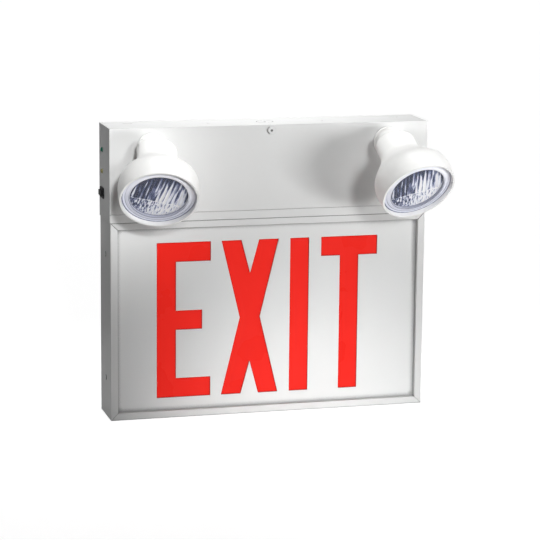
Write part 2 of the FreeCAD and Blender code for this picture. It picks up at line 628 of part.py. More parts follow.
def lamp_shell(side):
    """One moulded piece: rounded knuckle with a slot for the arm, neck, bell and rim."""
    back = document.addObject("Part::Ellipsoid", f"{side}_knuckle")
    bind(back, "Radius1", "neck_half_height")
    bind(back, "Radius2", "neck_half_width")
    bind(back, "Radius3", "neck_half_height")
    back.Angle1 = 0
    back.Placement = Placement(Vector(), Rotation(Vector(1, 0, 0), -90))
    neck_oval = oval(f"{side}_neck_oval", "neck_half_width", "neck_half_height", "flare_start")
    neck = document.addObject("Part::Extrusion", f"{side}_neck")
    neck.Base = neck_oval
    neck.DirMode = "Custom"
    neck.Dir = Vector(0, 1, 0)
    neck.Solid = True
    bind(neck, "LengthFwd", "flare_start")
    outside = bell(f"{side}_bell", "0", [(BELL, "rim_reach - bell_length / 2"),
                                        ("rim_radius", "rim_reach")])
    inside = bell(f"{side}_hollow", "shell_wall", [(BELL, LEDGE_BACK)])
    ledge_mouth = rod(f"{side}_ledge_mouth", "y",
                      (f"-({LEDGE_BACK}) - ledge_thick - 1", f"-({LEDGE_BACK}) + 1"),
                      ("0", "0"), f"{SEAT} - ledge_width")
    seat = rod(f"{side}_seat", "y", ("-rim_reach - 1", f"-{LEDGE}"), ("0", "0"), SEAT)
    slot_half = "(arm_width / 2 + slot_gap)"
    slot_round = rod(f"{side}_slot_round", "x", (f"-{slot_half}", slot_half), ("0", "0"),
                     "knuckle_radius + slot_gap")
    slot_fan = rod(f"{side}_slot_fan", "x", (f"-{slot_half}", slot_half), ("0", "0"), "2 * neck_half_width")
    first = -(size("tilt_most") + size("slot_margin"))
    turned = Rotation(Vector(1, 0, 0), first) * Rotation(Vector(1, 1, 1), 120)
    slot_fan.Placement = Placement(Vector(), turned)
    bind(slot_fan, "Angle", "tilt_most - tilt_least + 2 * slot_margin")
    bore = rod(f"{side}_shell_bore", "x", ("-2 * neck_half_width", "2 * neck_half_width"), ("0", "0"),
               "bolt_radius + press_gap")
    pockets = [rod(f"{side}_pocket_{number}", "x", span, ("0", "0"), POCKET)
               for number, span in enumerate((("-2 * neck_half_width", f"-{POCKET_FLOOR}"),
                                              (POCKET_FLOOR, "2 * neck_half_width")))]
    whole = fuse(f"{side}_shell_whole", back, neck, outside)
    return cut(f"{side}_lamp_shell", whole, inside, ledge_mouth, seat, slot_round, slot_fan, bore, *pockets)


def mirror():
    """The reflector: a parabolic bowl with a flange on the shell's ledge and a tube for the socket."""
    mouth = size("mouth_radius")
    tube = size("mirror_tube")
    wall = size("mirror_wall")
    reach = size("rim_reach") - size("seat_depth")
    edge = size("rim_radius") - size("rim_wall") - size("optic_gap")
    scale = 4 * size("focal_length")
    vertex = reach - mouth * mouth / scale

    def point(radius, station):
        return Vector(radius, -station, 0)

    def parabola(outwards):
        """The bowl's section, which as a parabola needs three poles."""
        middle = point((tube + mouth) / 2 + outwards, vertex + tube * mouth / scale)
        curve = Part.BezierCurve()
        curve.setPoles([point(tube + outwards, vertex + tube * tube / scale), middle,
                        point(mouth + outwards, reach)])
        return curve.toShape()

    tube_front = vertex + tube * tube / scale
    tube_back = tube_front - size("mirror_tube_length")
    flange = Part.makePolygon([point(mouth, reach), point(mouth, reach + wall), point(edge, reach + wall),
                               point(edge, reach), point(mouth + wall, reach)])
    stem = Part.makePolygon([point(tube + wall, tube_front), point(tube + wall, tube_back),
                             point(tube, tube_back), point(tube, tube_front)])
    edges = [parabola(0), *flange.Edges, parabola(wall), *stem.Edges]
    section = Part.Face(Part.Wire(Part.__sortEdges__(edges)))
    return section.revolve(Vector(), Vector(0, 1, 0), 360)


def head_optics(side):
    """The reflector, the bulb in its socket, and the fluted lens in front of them."""
    reflector = document.addObject("Part::Feature", f"{side}_reflector")
    reflector.Shape = mirror()
    socket_back = "socket_reach - socket_length"
    socket = cut(f"{side}_bulb_socket",
                 rod(f"{side}_socket_case", "y", ("-socket_reach", f"-({socket_back})"), ("0", "0"),
                     "mirror_tube - press_gap"),
                 rod(f"{side}_socket_bore", "y", ("-socket_reach - 1", "-socket_reach + bulb_stem_length"),
                     ("0", "0"), "bulb_stem + press_gap"))
    tip = document.addObject("Part::Sphere", f"{side}_bulb_tip")
    bind(tip, "Radius", "bulb_radius")
    bind(tip, ".Placement.Base.y", "-socket_reach - panel_play - bulb_length")
    bulb = fuse(f"{side}_bulb", tip,
                rod(f"{side}_bulb_glass", "y", ("-socket_reach - panel_play - bulb_length",
                                                "-socket_reach - panel_play"), ("0", "0"), "bulb_radius"),
                rod(f"{side}_bulb_stem", "y", ("-socket_reach - panel_play",
                                               "-socket_reach + bulb_stem_length"), ("0", "0"), "bulb_stem"))
    lens_back = f"({LEDGE} + mirror_wall + press_gap)"
    crown = f"(({SEAT} * {SEAT} + lens_crown * lens_crown) / (2 * lens_crown))"
    disc = rod(f"{side}_lens_disc", "y", (f"-{lens_back} - lens_thick - lens_crown", f"-{lens_back}"),
               ("0", "0"), f"{SEAT} - optic_gap")
    ball = document.addObject("Part::Sphere", f"{side}_lens_ball")
    bind(ball, "Radius", crown)
    bind(ball, ".Placement.Base.y", f"-{lens_back} - lens_thick - lens_crown + {crown}")
    each = int(size("flutes_each_side"))
    flutes = [rod(f"{side}_flute_{number + each}", "z", ("-mouth_radius", "mouth_radius"),
                  (f"{number} * flute_pitch", f"-{lens_back} + flute_radius - flute_sink"), "flute_radius")
              for number in range(-each, each + 1)]
    window = rod(f"{side}_flute_window", "y",
                 (f"-{lens_back} - flute_radius", f"-{lens_back} + flute_radius"), ("0", "0"), "mouth_radius")
    fluting = common(f"{side}_fluting", fuse(f"{side}_flutes", *flutes), window)
    lens = cut(f"{side}_lens", common(f"{side}_lens_blank", disc, ball), fluting)
    return {"reflector": reflector, "bulb_socket": socket, "bulb": bulb, "lens": lens}


def tilt_hardware(side):
    """The bolt through knuckle and arm, its nut, and the two caps over its ends."""
    bolt = screw(f"{side}_tilt_bolt", "x", f"-{POCKET_FLOOR}", -1, ("0", "0"), "bolt_radius", "bolt_head",
                 "bolt_head_thick", f"2 * {POCKET_FLOOR} + tilt_nut_thick")
    nut = cut(f"{side}_tilt_nut",
              hexagon(f"{side}_tilt_nut_block", "x", (POCKET_FLOOR, f"{POCKET_FLOOR} + tilt_nut_thick"),
                      ("0", "0"), "tilt_nut"),
              rod(f"{side}_tilt_nut_bore", "x",
                  (f"{POCKET_FLOOR} - 1", f"{POCKET_FLOOR} + tilt_nut_thick + 1"), ("0", "0"),
                  "bolt_radius + press_gap"))
    caps = [rod(f"{side}_cap_{number}", "x", span, ("0", "0"), f"{POCKET} - press_gap")
            for number, span in enumerate(((f"-{CAP_REACH}", f"-{CAP_REACH} + cap_thick"),
                                           (f"{CAP_REACH} - cap_thick", CAP_REACH)))]
    return {"tilt_bolt": bolt, "tilt_nut": nut, "pivot_caps": group(f"{side}_pivot_caps", *caps)}


def swivel_set(side):
    """The base that turns in the cover: flange, arm and spigot, with a washer and a nut behind."""
    face = "pivot_reach - press_gap"
    flange = rod(f"{side}_base_flange", "y", (f"{face} - flange_thick", face), ("0", "0"), "flange_radius")
    skirt = cone(f"{side}_base_skirt", "y", (f"{face} - flange_thick - skirt_rise", f"{face} - flange_thick"),
                 ("0", "0"), "skirt_top", "skirt_radius")
    spigot = rod(f"{side}_base_spigot", "y", (face, "pivot_reach + spigot_length"), ("0", "0"),
                 "spigot_radius")
    arm = box(f"{side}_base_arm", about("0", "arm_width"), ("0", f"{face} - flange_thick"),
              about("0", "arm_thick"))
    knuckle = rod(f"{side}_base_knuckle", "x", about("0", "arm_width"), ("0", "0"), "knuckle_radius")
    wire_way = rod(f"{side}_wire_way", "y", ("wire_bore_end", "pivot_reach + spigot_length + 1"),
                   ("0", "0"), "wire_bore")
    wire_out = rod(f"{side}_wire_out", "z", ("-arm_thick", "0"),
                   ("0", "wire_bore_end + wire_exit_set + wire_exit"), "wire_exit")
    bolt_way = rod(f"{side}_bolt_way", "x", about("0", "arm_width", "1"), ("0", "0"),
                   "bolt_radius + bolt_gap")
    base = cut(f"{side}_swivel_base", fuse(f"{side}_base_whole", flange, skirt, spigot, arm, knuckle),
               wire_way, wire_out, bolt_way)
    washer_back = "pivot_reach + steel + swivel_gap"
    nut_back = f"{washer_back} + washer_thick + swivel_gap"
    rings = {}
    for name, start, thick, radius in (("swivel_washer", washer_back, "washer_thick", "swivel_washer"),
                                       ("swivel_nut", nut_back, "nut_thick", "swivel_nut")):
        rings[name] = cut(f"{side}_{name}",
                          rod(f"{side}_{name}_disc", "y", (start, f"{start} + {thick}"), ("0", "0"), radius),
                          rod(f"{side}_{name}_bore", "y", (f"{start} - 1", f"{start} + {thick} + 1"),
                              ("0", "0"), "spigot_radius + press_gap"))
    return {"swivel_base": base, **rings}


def lamp_head(side, mirrored):
    """One whole lamp head, swivelled and tilted to its aim on the cover."""
    pivot = Vector(mirrored * (size("housing_width") / 2 - size("lamp_inset")),
                   -size("body_depth") - size("pivot_reach"),
                   size("housing_height") / 2 - size("lamp_drop"))
    swivel = Rotation(Vector(0, 1, 0), -size(f"{side}_swivel"))
    tilt = Rotation(Vector(1, 0, 0), size(f"{side}_tilt"))
    turning = swivel_set(side)
    tilting = {"lamp_shell": lamp_shell(side), **head_optics(side), **tilt_hardware(side)}
    for pieces, turn in ((turning, swivel), (tilting, swivel * tilt)):
        for name, item in pieces.items():
            item.Placement = Placement(pivot, turn)
            node(f"{side}_{name}", item)


# ---- exit sign ----------------------------------------------------------------------------------

PANEL_FRONT = f"{FRONT} + face_recess + panel_play"
RED_FRONT = f"{PANEL_FRONT} + face_sheet + panel_play"
RED_BACK = f"{RED_FRONT} + red_sheet"
SIDE_SCREW_HEIGHTS = (f"{SIGN_TOP} - side_screw_top", f"{SIGN_LOW} + side_screw_foot")
WINDOW_X = (f"-({SIGN_SIDE} - bar_width)", f"{SIGN_SIDE} - bar_width")
WINDOW_Z = (f"{SIGN_LOW} + bar_width", f"{SIGN_TOP} - bar_width")
BAR_END = f"({SIGN_SIDE} - bar_inset)"
BAR_SCREWS = (f"-{BAR_END} + bar_screw_inset", f"{BAR_END} - bar_screw_inset")
BAR_MIDDLE = f"{RED_BACK} + bar_clearance + bar_depth / 2"


def mitre_cutter():
    """Four thin slits from the window's corners to the outer corners, where the folded bars meet."""
    body, outline = body_with_sketch("mitre_cutter", "XZ_Plane")
    for sx in ("-", ""):
        for inner_z, outer_z, inwards in ((WINDOW_Z[0], f"{SIGN_LOW} + steel", "+"),
                                          (WINDOW_Z[1], f"{SIGN_TOP} - steel", "-")):
            inner_x = f"{SIGN_SIDE} - bar_width"
            outer_x = f"{SIGN_SIDE} - steel"
            polygon(outline, [(f"{sx}({inner_x} - mitre_gap)", inner_z),
                              (f"{sx}({inner_x})", f"{inner_z} {inwards} mitre_gap"),
                              (f"{sx}({outer_x})", f"{outer_z} {inwards} mitre_gap"),
                              (f"{sx}({outer_x} - mitre_gap)", outer_z)])
    pad(body, outline, "steel + 2 * sheet_gap")
    bind(body, ".Placement.Base.y", f"{FRONT} + steel + sheet_gap")
    return body


def side_screw_holes(tag, spare):
    """Holes through both sides of the sign at the side screws."""
    return [rod(f"{tag}_side_hole_{number}", "x", (f"-({SIGN_SIDE}) - 1", f"{SIGN_SIDE} + 1"),
                ("-side_screw_depth", height), f"side_screw + {spare}")
            for number, height in enumerate(SIDE_SCREW_HEIGHTS)]


def bar_screw_holes(tag, spare):
    """Holes through the sign's top and bottom walls at the light bars' screws."""
    return [rod(f"{tag}_bar_hole_{number}", "z", (f"{SIGN_LOW} - 1", f"{SIGN_TOP} + 1"), (x, BAR_MIDDLE),
                f"bar_screw + {spare}") for number, x in enumerate(BAR_SCREWS)]


def joint_relief():
    """A shallow step round the sign's top edge, which leaves a fine line under the housing."""
    span_z = (f"{SIGN_TOP} - joint_line", f"{SIGN_TOP} + 1")
    band = box("relief_band", (f"-({SIGN_SIDE}) - 1", f"{SIGN_SIDE} + 1"), (f"{FRONT} - 1", "1"), span_z)
    core = box("relief_core", (f"-({SIGN_SIDE} - joint_line_depth)", f"{SIGN_SIDE} - joint_line_depth"),
               (f"{FRONT} + joint_line_depth", "2"), span_z)
    return cut("joint_relief", band, core)


def sign_frame():
    """The folded frame: four walls, four mitred front bars and their inner returns."""
    block = box("frame_block", (f"-({SIGN_SIDE})", SIGN_SIDE), (FRONT, "0"), (SIGN_LOW, SIGN_TOP))
    inside = box("frame_inside", (f"-({SIGN_INNER_SIDE})", SIGN_INNER_SIDE), (f"{FRONT} + steel", "1"),
                 (f"{SIGN_LOW} + steel", f"{SIGN_TOP} - steel"))
    walls = cut("frame_walls", block, inside)
    returns = box("frame_returns", (f"{WINDOW_X[0]} - steel", f"{WINDOW_X[1]} + steel"),
                  (FRONT, f"{FRONT} + face_recess"), (f"{WINDOW_Z[0]} - steel", f"{WINDOW_Z[1]} + steel"))
    window = box("frame_window", WINDOW_X, (f"{FRONT} - 1", f"{FRONT} + face_recess + 1"), WINDOW_Z)
    folded = fuse("frame_folded", walls, returns)
    node("sign_frame", cut("sign_frame", folded, window, mitre_cutter(), joint_relief(),
                           *join_cuts("frame"), *side_screw_holes("frame", "screw_gap"),
                           *bar_screw_holes("frame", "press_gap")))


def sign_back():
    """The back tray: its side flanges press the red lens against the panel, and the screws hold them."""
    reach = f"{SIGN_INNER_SIDE} - sheet_gap"
    low = f"{SIGN_LOW} + steel + sheet_gap"
    high = f"{SIGN_TOP} - steel - sheet_gap"
    block = box("tray_block", (f"-({reach})", reach), (f"{RED_BACK} + panel_play", "0"), (low, high))
    inside = box("tray_inside", (f"-({reach} - steel)", f"{reach} - steel"), (f"{FRONT}", "-steel"),
                 (f"{low} + steel", f"{high} - steel"))
    trim = box("tray_trim", (f"-({reach} - steel)", f"{reach} - steel"), (FRONT, "-back_flange"),
               (f"{low} - 1", f"{high} + 1"))
    node("sign_back", cut("sign_back", block, inside, trim, *side_screw_holes("tray", "press_gap")))


def letter_outlines():
    """The corners of E, X, I and T, each letter starting a named gap after the one before."""
    top = f"({SIGN_TOP} - letter_drop)"
    low = f"({SIGN_LOW} + letter_foot)"
    middle = f"(({SIGN_TOP} - letter_drop + {low}) / 2)"
    e_left = "(0 - word_reach)"
    e_stem = f"({e_left} + stroke)"
    e_right = f"({e_left} + e_width)"
    e_reach = f"({e_left} + e_middle)"
    bar_up = f"({middle} + stroke / 2)"
    bar_down = f"({middle} - stroke / 2)"
    letter_e = [(e_left, low), (e_right, low), (e_right, f"{low} + stroke"), (e_stem, f"{low} + stroke"),
                (e_stem, bar_down), (e_reach, bar_down), (e_reach, bar_up), (e_stem, bar_up),
                (e_stem, f"{top} - stroke"), (e_right, f"{top} - stroke"), (e_right, top), (e_left, top)]
    x_left = f"({e_right} + gap_before_x)"
    x_right = f"({x_left} + x_width)"
    x_middle = f"({x_left} + x_width / 2)"
    letter_x = [(x_left, low), (f"{x_left} + x_arm", low), (x_middle, f"{low} + x_crotch"),
                (f"{x_right} - x_arm", low), (x_right, low), (f"{x_middle} + x_waist / 2", middle),
                (x_right, top), (f"{x_right} - x_arm", top), (x_middle, f"{top} - x_crotch"),
                (f"{x_left} + x_arm", top), (x_left, top), (f"{x_middle} - x_waist / 2", middle)]
    i_left = f"({x_right} + gap_before_i)"
    i_right = f"({i_left} + stroke)"
    letter_i = [(i_left, low), (i_right, low), (i_right, top), (i_left, top)]
    t_left = f"({i_right} + gap_before_t)"
    t_middle = f"({t_left} + t_width / 2)"
    letter_t = [(f"{t_middle} - stroke / 2", low), (f"{t_middle} + stroke / 2", low),
                (f"{t_middle} + stroke / 2", f"{top} - stroke"), (f"{t_left} + t_width", f"{top} - stroke"),
                (f"{t_left} + t_width", top), (t_left, top), (t_left, f"{top} - stroke"),
                (f"{t_middle} - stroke / 2", f"{top} - stroke")]
    return [letter_e, letter_x, letter_i, letter_t]


PANEL_X = (f"-({SIGN_INNER_SIDE} - panel_gap)", f"{SIGN_INNER_SIDE} - panel_gap")
PANEL_Z = (f"{SIGN_LOW} + steel + panel_gap", f"{SIGN_TOP} - steel - panel_gap")


def sign_panels():
    """The stencil panel, with the letters cut through, and the red sheet behind it."""
    body, outline = body_with_sketch("sign_face", "XZ_Plane")
    rectangle(outline, *PANEL_X, *PANEL_Z)
    pad(body, outline, "face_sheet")
    letters = sketch_on(body, "letters", "XZ_Plane")
    for corners in letter_outlines():
        polygon(letters, corners)
    hole(body, letters, "4 * face_sheet")
    bind(body, ".Placement.Base.y", f"{PANEL_FRONT} + face_sheet")
    node("sign_face", body)
    node("red_lens", box("red_lens", PANEL_X, (RED_FRONT, RED_BACK), PANEL_Z))


def side_screws():
    """Four low-headed screws in the sides of the sign."""
    screws = []
    for number, height in enumerate(SIDE_SCREW_HEIGHTS):
        for tag, seat, away in (("left", f"-({SIGN_SIDE})", -1), ("right", SIGN_SIDE, 1)):
            screws.append(screw(f"side_screw_{tag}_{number}", "x", seat, away, ("-side_screw_depth", height),
                                "side_screw", "side_screw_head", "side_screw_rise", "side_screw_length"))
    node("side_screws", group("side_screws", *screws))


def light_bars():
    """A bar of light chips under the sign's top wall and one over its bottom wall."""
    screws = []
    for tag, wall, up in (("top", f"({SIGN_TOP} - steel)", -1), ("bottom", f"({SIGN_LOW} + steel)", 1)):
        sign = "+" if up > 0 else "-"
        face = f"({wall} {sign} bar_thick)"
        outer = f"({face} {sign} chip_thick)"
        spans = [(wall, face), (face, outer)] if up > 0 else [(face, wall), (outer, face)]
        plate = box(f"bar_plate_{tag}", (f"-{BAR_END}", BAR_END), about(BAR_MIDDLE, "bar_depth"), spans[0])
        holes = [rod(f"bar_plate_hole_{tag}_{number}", "z",
                     (f"{wall} - 2 * bar_thick", f"{wall} + 2 * bar_thick"), (x, BAR_MIDDLE),
                     "bar_screw + press_gap") for number, x in enumerate(BAR_SCREWS)]
        node(f"light_bar_{tag}", cut(f"light_bar_{tag}", plate, *holes))
        each = int(size("chips_each_side"))
        chips = [box(f"chip_{tag}_{number + each}", about(f"{number + 0.5} * chip_pitch", "chip_width"),
                     about(BAR_MIDDLE, "chip_depth"), spans[1]) for number in range(-each, each)]
        node(f"light_chips_{tag}", group(f"light_chips_{tag}", *chips))
        screws += [screw(f"bar_screw_{tag}_{number}", "z", face, up, (x, BAR_MIDDLE), "bar_screw",
                         "bar_screw_head", "bar_screw_rise", "bar_thick + steel")
                   for number, x in enumerate(BAR_SCREWS)]
    node("light_bar_screws", group("light_bar_screws", *screws))


def joint_hardware():
    """The bushing that leads the wires into the sign, and the screws and nuts that carry the sign."""
    floor = f"({SIGN_TOP} + steel)"
    under = f"({SIGN_TOP} - steel)"
    centre = ("0", "-join_depth")
    collar = rod("bushing_collar", "z", (floor, f"{floor} + bushing_flange_thick"), centre, "bushing_flange")
    barrel = rod("bushing_barrel", "z", (f"{under} - bushing_length", floor), centre, "bushing_radius")
    bore = rod("bushing_hole", "z", (f"{under} - bushing_length - 1", f"{floor} + bushing_flange_thick + 1"),
               centre, "bushing_bore")
    node("lead_bushing", cut("lead_bushing", fuse("bushing_whole", collar, barrel), bore))
    nut = rod("bushing_nut_disc", "z", (f"{under} - bushing_nut_thick", under), centre, "bushing_nut")
    nut_bore = rod("bushing_nut_bore", "z", (f"{under} - bushing_nut_thick - 1", f"{under} + 1"), centre,
                   "bushing_radius + press_gap")
    node("bushing_nut", cut("bushing_nut", nut, nut_bore))
    screws = []
    nuts = []
    for number, x in enumerate(JOIN_X):
        across = (x, "-join_depth")
        screws.append(screw(f"join_screw_{number}", "z", floor, 1, across, "join_screw", "join_screw_head",
                            "join_screw_rise", "join_screw_length"))
        nuts.append(cut(f"join_nut_{number}",
                        hexagon(f"join_nut_{number}_block", "z", (f"{under} - join_nut_thick", under), across,
                                "join_nut"),
                        rod(f"join_nut_{number}_bore", "z", (f"{under} - join_nut_thick - 1", f"{under} + 1"),
                            across, "join_screw + press_gap")))
    node("joining_screws", group("joining_screws", *screws))
    node("joining_nuts", group("joining_nuts", *nuts))


# ---- the whole part -----------------------------------------------------------------------------

for make in (back_box, back_plate, front_cover, cover_screw, status_lights, test_switch, battery,
             charger_board, transformer, board_components, sign_frame, sign_back, sign_panels, side_screws,
             light_bars, joint_hardware):
    make()
lamp_head("left", -1)
lamp_head("right", 1)
document.recompute()

for item in document.Objects:
    if "Invalid" in item.State or "Error" in item.State:
        raise RuntimeError(f"{item.Label} did not compute: {item.State}")
for item in nodes:
    if item.Shape.isNull() or not item.Shape.isValid():
        raise RuntimeError(f"{item.Label} has no valid shape")

os.makedirs("parts", exist_ok=True)
for item in nodes:
    item.Shape.exportStep(f"parts/{item.Label}.step")
    print(f"{item.Label}: {len(item.Shape.Solids)} solid, {item.Shape.Volume / 1000:.2f} cm3")
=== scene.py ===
"""Looks of the emergency exit light: paint, lettering, lamp optics, studio and camera."""
import json
import math

import bpy
from mathutils import Matrix, Vector


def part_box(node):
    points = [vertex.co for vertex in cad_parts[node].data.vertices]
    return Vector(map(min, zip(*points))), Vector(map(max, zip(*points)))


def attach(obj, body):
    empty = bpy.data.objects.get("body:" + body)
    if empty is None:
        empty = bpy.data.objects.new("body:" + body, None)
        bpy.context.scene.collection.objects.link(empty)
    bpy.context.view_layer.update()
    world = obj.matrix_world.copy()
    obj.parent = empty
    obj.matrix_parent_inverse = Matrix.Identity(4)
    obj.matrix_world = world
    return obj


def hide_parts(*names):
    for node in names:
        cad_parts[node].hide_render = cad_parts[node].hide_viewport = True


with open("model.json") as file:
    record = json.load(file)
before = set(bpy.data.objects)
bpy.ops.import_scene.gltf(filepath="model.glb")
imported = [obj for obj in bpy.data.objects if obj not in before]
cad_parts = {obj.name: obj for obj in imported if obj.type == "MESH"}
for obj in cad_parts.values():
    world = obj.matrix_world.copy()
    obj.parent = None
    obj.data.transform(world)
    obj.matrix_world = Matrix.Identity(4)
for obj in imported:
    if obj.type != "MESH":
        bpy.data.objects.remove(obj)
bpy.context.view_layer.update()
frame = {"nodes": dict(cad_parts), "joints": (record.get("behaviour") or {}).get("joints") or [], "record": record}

MM = 0.001
record = frame["record"]

# ---- node helpers -------------------------------------------------------------------------------------


class Finish:
    """A material built round one Principled shader, with the plain colour and roughness it starts from."""

    def __init__(self, name, colour, roughness, metallic=0.0, **sockets):
        self.material = bpy.data.materials.new(name)
        self.material.use_nodes = True
        self.tree = self.material.node_tree
        self.shader = self.tree.nodes["Principled BSDF"]
        self.set("Base Color", (*colour, 1.0))
        self.set("Roughness", roughness)
        self.set("Metallic", metallic)
        for socket, value in sockets.items():
            self.set(socket.replace("_", " "), value)
        self.place = self.node("ShaderNodeTexCoord").outputs["Object"]

    def set(self, socket, value):
        self.shader.inputs[socket].default_value = value

    def node(self, kind, **settings):
        made = self.tree.nodes.new(kind)
        for key, value in settings.items():
            setattr(made, key, value)
        return made

    def link(self, start, end):
        """Join an output, or put a plain number, into an input."""
        if isinstance(start, bpy.types.NodeSocket):
            self.tree.links.new(start, end)
        else:
            end.default_value = start

    def turn(self, axes):
        """Measure places along the axes of a turned part."""
        mapping = self.node("ShaderNodeMapping")
        mapping.inputs["Rotation"].default_value = axes.inverted().to_euler()
        self.link(self.place, mapping.inputs["Vector"])
        self.place = mapping.outputs["Vector"]

    def stretched(self, x, y, z):
        """The object's coordinates, scaled along each axis."""
        mapping = self.node("ShaderNodeMapping")
        mapping.inputs["Scale"].default_value = (x, y, z)
        self.link(self.place, mapping.inputs["Vector"])
        return mapping.outputs["Vector"]

    def noise(self, scale, detail=3.0, where=None, distortion=0.0):
        """Cloudy values around 0.5, over the object's coordinates or those given."""
        made = self.node("ShaderNodeTexNoise")
        made.inputs["Scale"].default_value = scale
        made.inputs["Detail"].default_value = detail
        made.inputs["Distortion"].default_value = distortion
        self.link(where or self.place, made.inputs["Vector"])
        return made.outputs["Fac"]

    def math(self, operation, first, second=0.0, third=0.0, clamp=False):
        """The result of one sum on outputs or plain numbers."""
        made = self.node("ShaderNodeMath", operation=operation, use_clamp=clamp)
        for value, socket in zip((first, second, third), made.inputs):
            self.link(value, socket)
        return made.outputs[0]

    def spread(self, value, low, high, new_low=0.0, new_high=1.0):
        """A value rescaled smoothly from one range to another."""
        made = self.node("ShaderNodeMapRange", interpolation_type="SMOOTHSTEP")
        for number, item in zip(range(5), (value, low, high, new_low, new_high)):
            self.link(item, made.inputs[number])
        return made.outputs[0]

    def ramp(self, value, *stops):
        """Colours along a value: each stop is a position and a colour."""
        made = self.node("ShaderNodeValToRGB")
        band = made.color_ramp
        while len(band.elements) < len(stops):
            band.elements.new(1.0)
        for element, (position, colour) in zip(band.elements, stops):
            element.position = position
            element.color = (*colour, 1.0)
        self.link(value, made.inputs["Fac"])
        return made.outputs["Color"]

    def blend(self, share, first, second):
        """Two colours mixed by a share."""
        made = self.node("ShaderNodeMix", data_type="RGBA")
        self.link(share, made.inputs["Factor"])
        for item, socket in ((first, made.inputs[6]), (second, made.inputs[7])):
            if isinstance(item, tuple):
                socket.default_value = (*item, 1.0)
            else:
                self.link(item, socket)
        return made.outputs[2]

    def edge_mask(self, radius):
        """1 close to an edge and 0 away from it, with the rounded normal that goes with it."""
        rounded = self.node("ShaderNodeBevel", samples=6)
        rounded.inputs["Radius"].default_value = radius
        flat = self.node("ShaderNodeNewGeometry")
        dot = self.node("ShaderNodeVectorMath", operation="DOT_PRODUCT")
        self.link(rounded.outputs[0], dot.inputs[0])
        self.link(flat.outputs["Normal"], dot.inputs[1])
        return self.spread(dot.outputs["Value"], 0.999, 0.93), rounded.outputs[0]

    def painted_crevice_shade(self, colour, reach, darkest):
        """A colour with painted shade, from ambient occlusion, in seams and corners narrower than a reach."""
        made = self.node("ShaderNodeAmbientOcclusion", samples=8)
        made.inputs["Distance"].default_value = reach
        share = self.spread(made.outputs["AO"], 0.95, 0.45)
        return self.blend(share, colour, darkest)

    def relief(self, height, depth, normal=None):
        """Bump the surface by a height field of a given depth in metres."""
        made = self.node("ShaderNodeBump")
        made.inputs["Distance"].default_value = depth
        self.link(height, made.inputs["Height"])
        if normal is not None:
            self.link(normal, made.inputs["Normal"])
        self.link(made.outputs[0], self.shader.inputs["Normal"])

    def colour_by(self, output):
        self.link(output, self.shader.inputs["Base Color"])

    def roughness_by(self, value, low, high):
        """Vary the roughness between two levels by a noise."""
        self.link(self.spread(value, 0.35, 0.65, low, high), self.shader.inputs["Roughness"])


# ---- finishes -----------------------------------------------------------------------------------------


WHITE_PAINT = (0.765, 0.77, 0.765)
PAINT_ROUGHNESS = 0.42
PANEL_PAINT = (0.79, 0.80, 0.795)
DULL_SPECULAR = 0.05          # dull paint and dull black plastic
BEND_RADIUS = 0.9 * MM        # width of the painted highlight along a bend
CUT_RADIUS = 1.6 * MM         # and of the painted highlight along the cut letters
SEAM_REACH = 2.5 * MM         # how far the painted shade of a seam reaches into the paint beside it
FRAME_REACH = 8.0 * MM        # how far the painted shade of the frame reaches over the panel
RECESS_REACH = 3.0 * MM       # how far the painted shade beside a cut edge or in a recess reaches on sheet and metal
MITRE_HALF = 0.5 * MM


def grey(level):
    return (level, level, level)


def shaded(colour, factor):
    """A colour made darker or lighter by a factor."""
    return tuple(min(1.0, channel * factor) for channel in colour)


def mitre_lines(finish, corners, half):
    """1 on the slanting seams that run from outer to inner corners of a frame's front."""
    apart = finish.node("ShaderNodeSeparateXYZ")
    finish.link(finish.place, apart.inputs[0])
    across, up = apart.outputs["X"], apart.outputs["Z"]
    total = 0.0
    for outer, inner in corners:
        run, drop = inner.x - outer.x, inner.z - outer.z
        length = math.hypot(run, drop)
        off = finish.math("SUBTRACT",
                          finish.math("MULTIPLY", finish.math("SUBTRACT", across, outer.x), drop),
                          finish.math("MULTIPLY", finish.math("SUBTRACT", up, outer.z), run))
        near = finish.spread(finish.math("ABSOLUTE", off), half * length, 0.4 * half * length)
        low, high = sorted((outer.x, inner.x))
        inside = finish.math("MULTIPLY", finish.math("GREATER_THAN", across, low),
                             finish.math("LESS_THAN", across, high))
        under = finish.math("GREATER_THAN", up, inner.z)
        total = finish.math("MAXIMUM", total,
                            finish.math("MULTIPLY", near, finish.math("MULTIPLY", inside, under)))
    return total


def enamel(name, corners=(), painted_seam_tone=0.2):
    """Sprayed and baked paint: clouding, orange peel, a painted highlight along the bends, and painted shade in
    seams down to a grey level.
    """
    finish = Finish(name, WHITE_PAINT, PAINT_ROUGHNESS, Specular_IOR_Level=DULL_SPECULAR)
    clouds = finish.noise(9.0, 4.0)
    paint = finish.ramp(clouds, (0.3, shaded(WHITE_PAINT, 0.965)), (0.7, WHITE_PAINT))
    # painted highlight: the paint is made paler along the bends
    mask, rounded = finish.edge_mask(BEND_RADIUS)
    edge_lit = finish.blend(mask, paint, shaded(WHITE_PAINT, 1.04))
    if corners:
        edge_lit = finish.blend(mitre_lines(finish, corners, MITRE_HALF), edge_lit, grey(0.12))
    # painted shade in seams and corners, down to a grey level
    finish.colour_by(finish.painted_crevice_shade(edge_lit, SEAM_REACH, grey(painted_seam_tone)))
    finish.roughness_by(clouds, PAINT_ROUGHNESS - 0.05, PAINT_ROUGHNESS + 0.06)
    finish.relief(finish.noise(1300.0, 3.0), 0.03 * MM, rounded)
    return finish.material


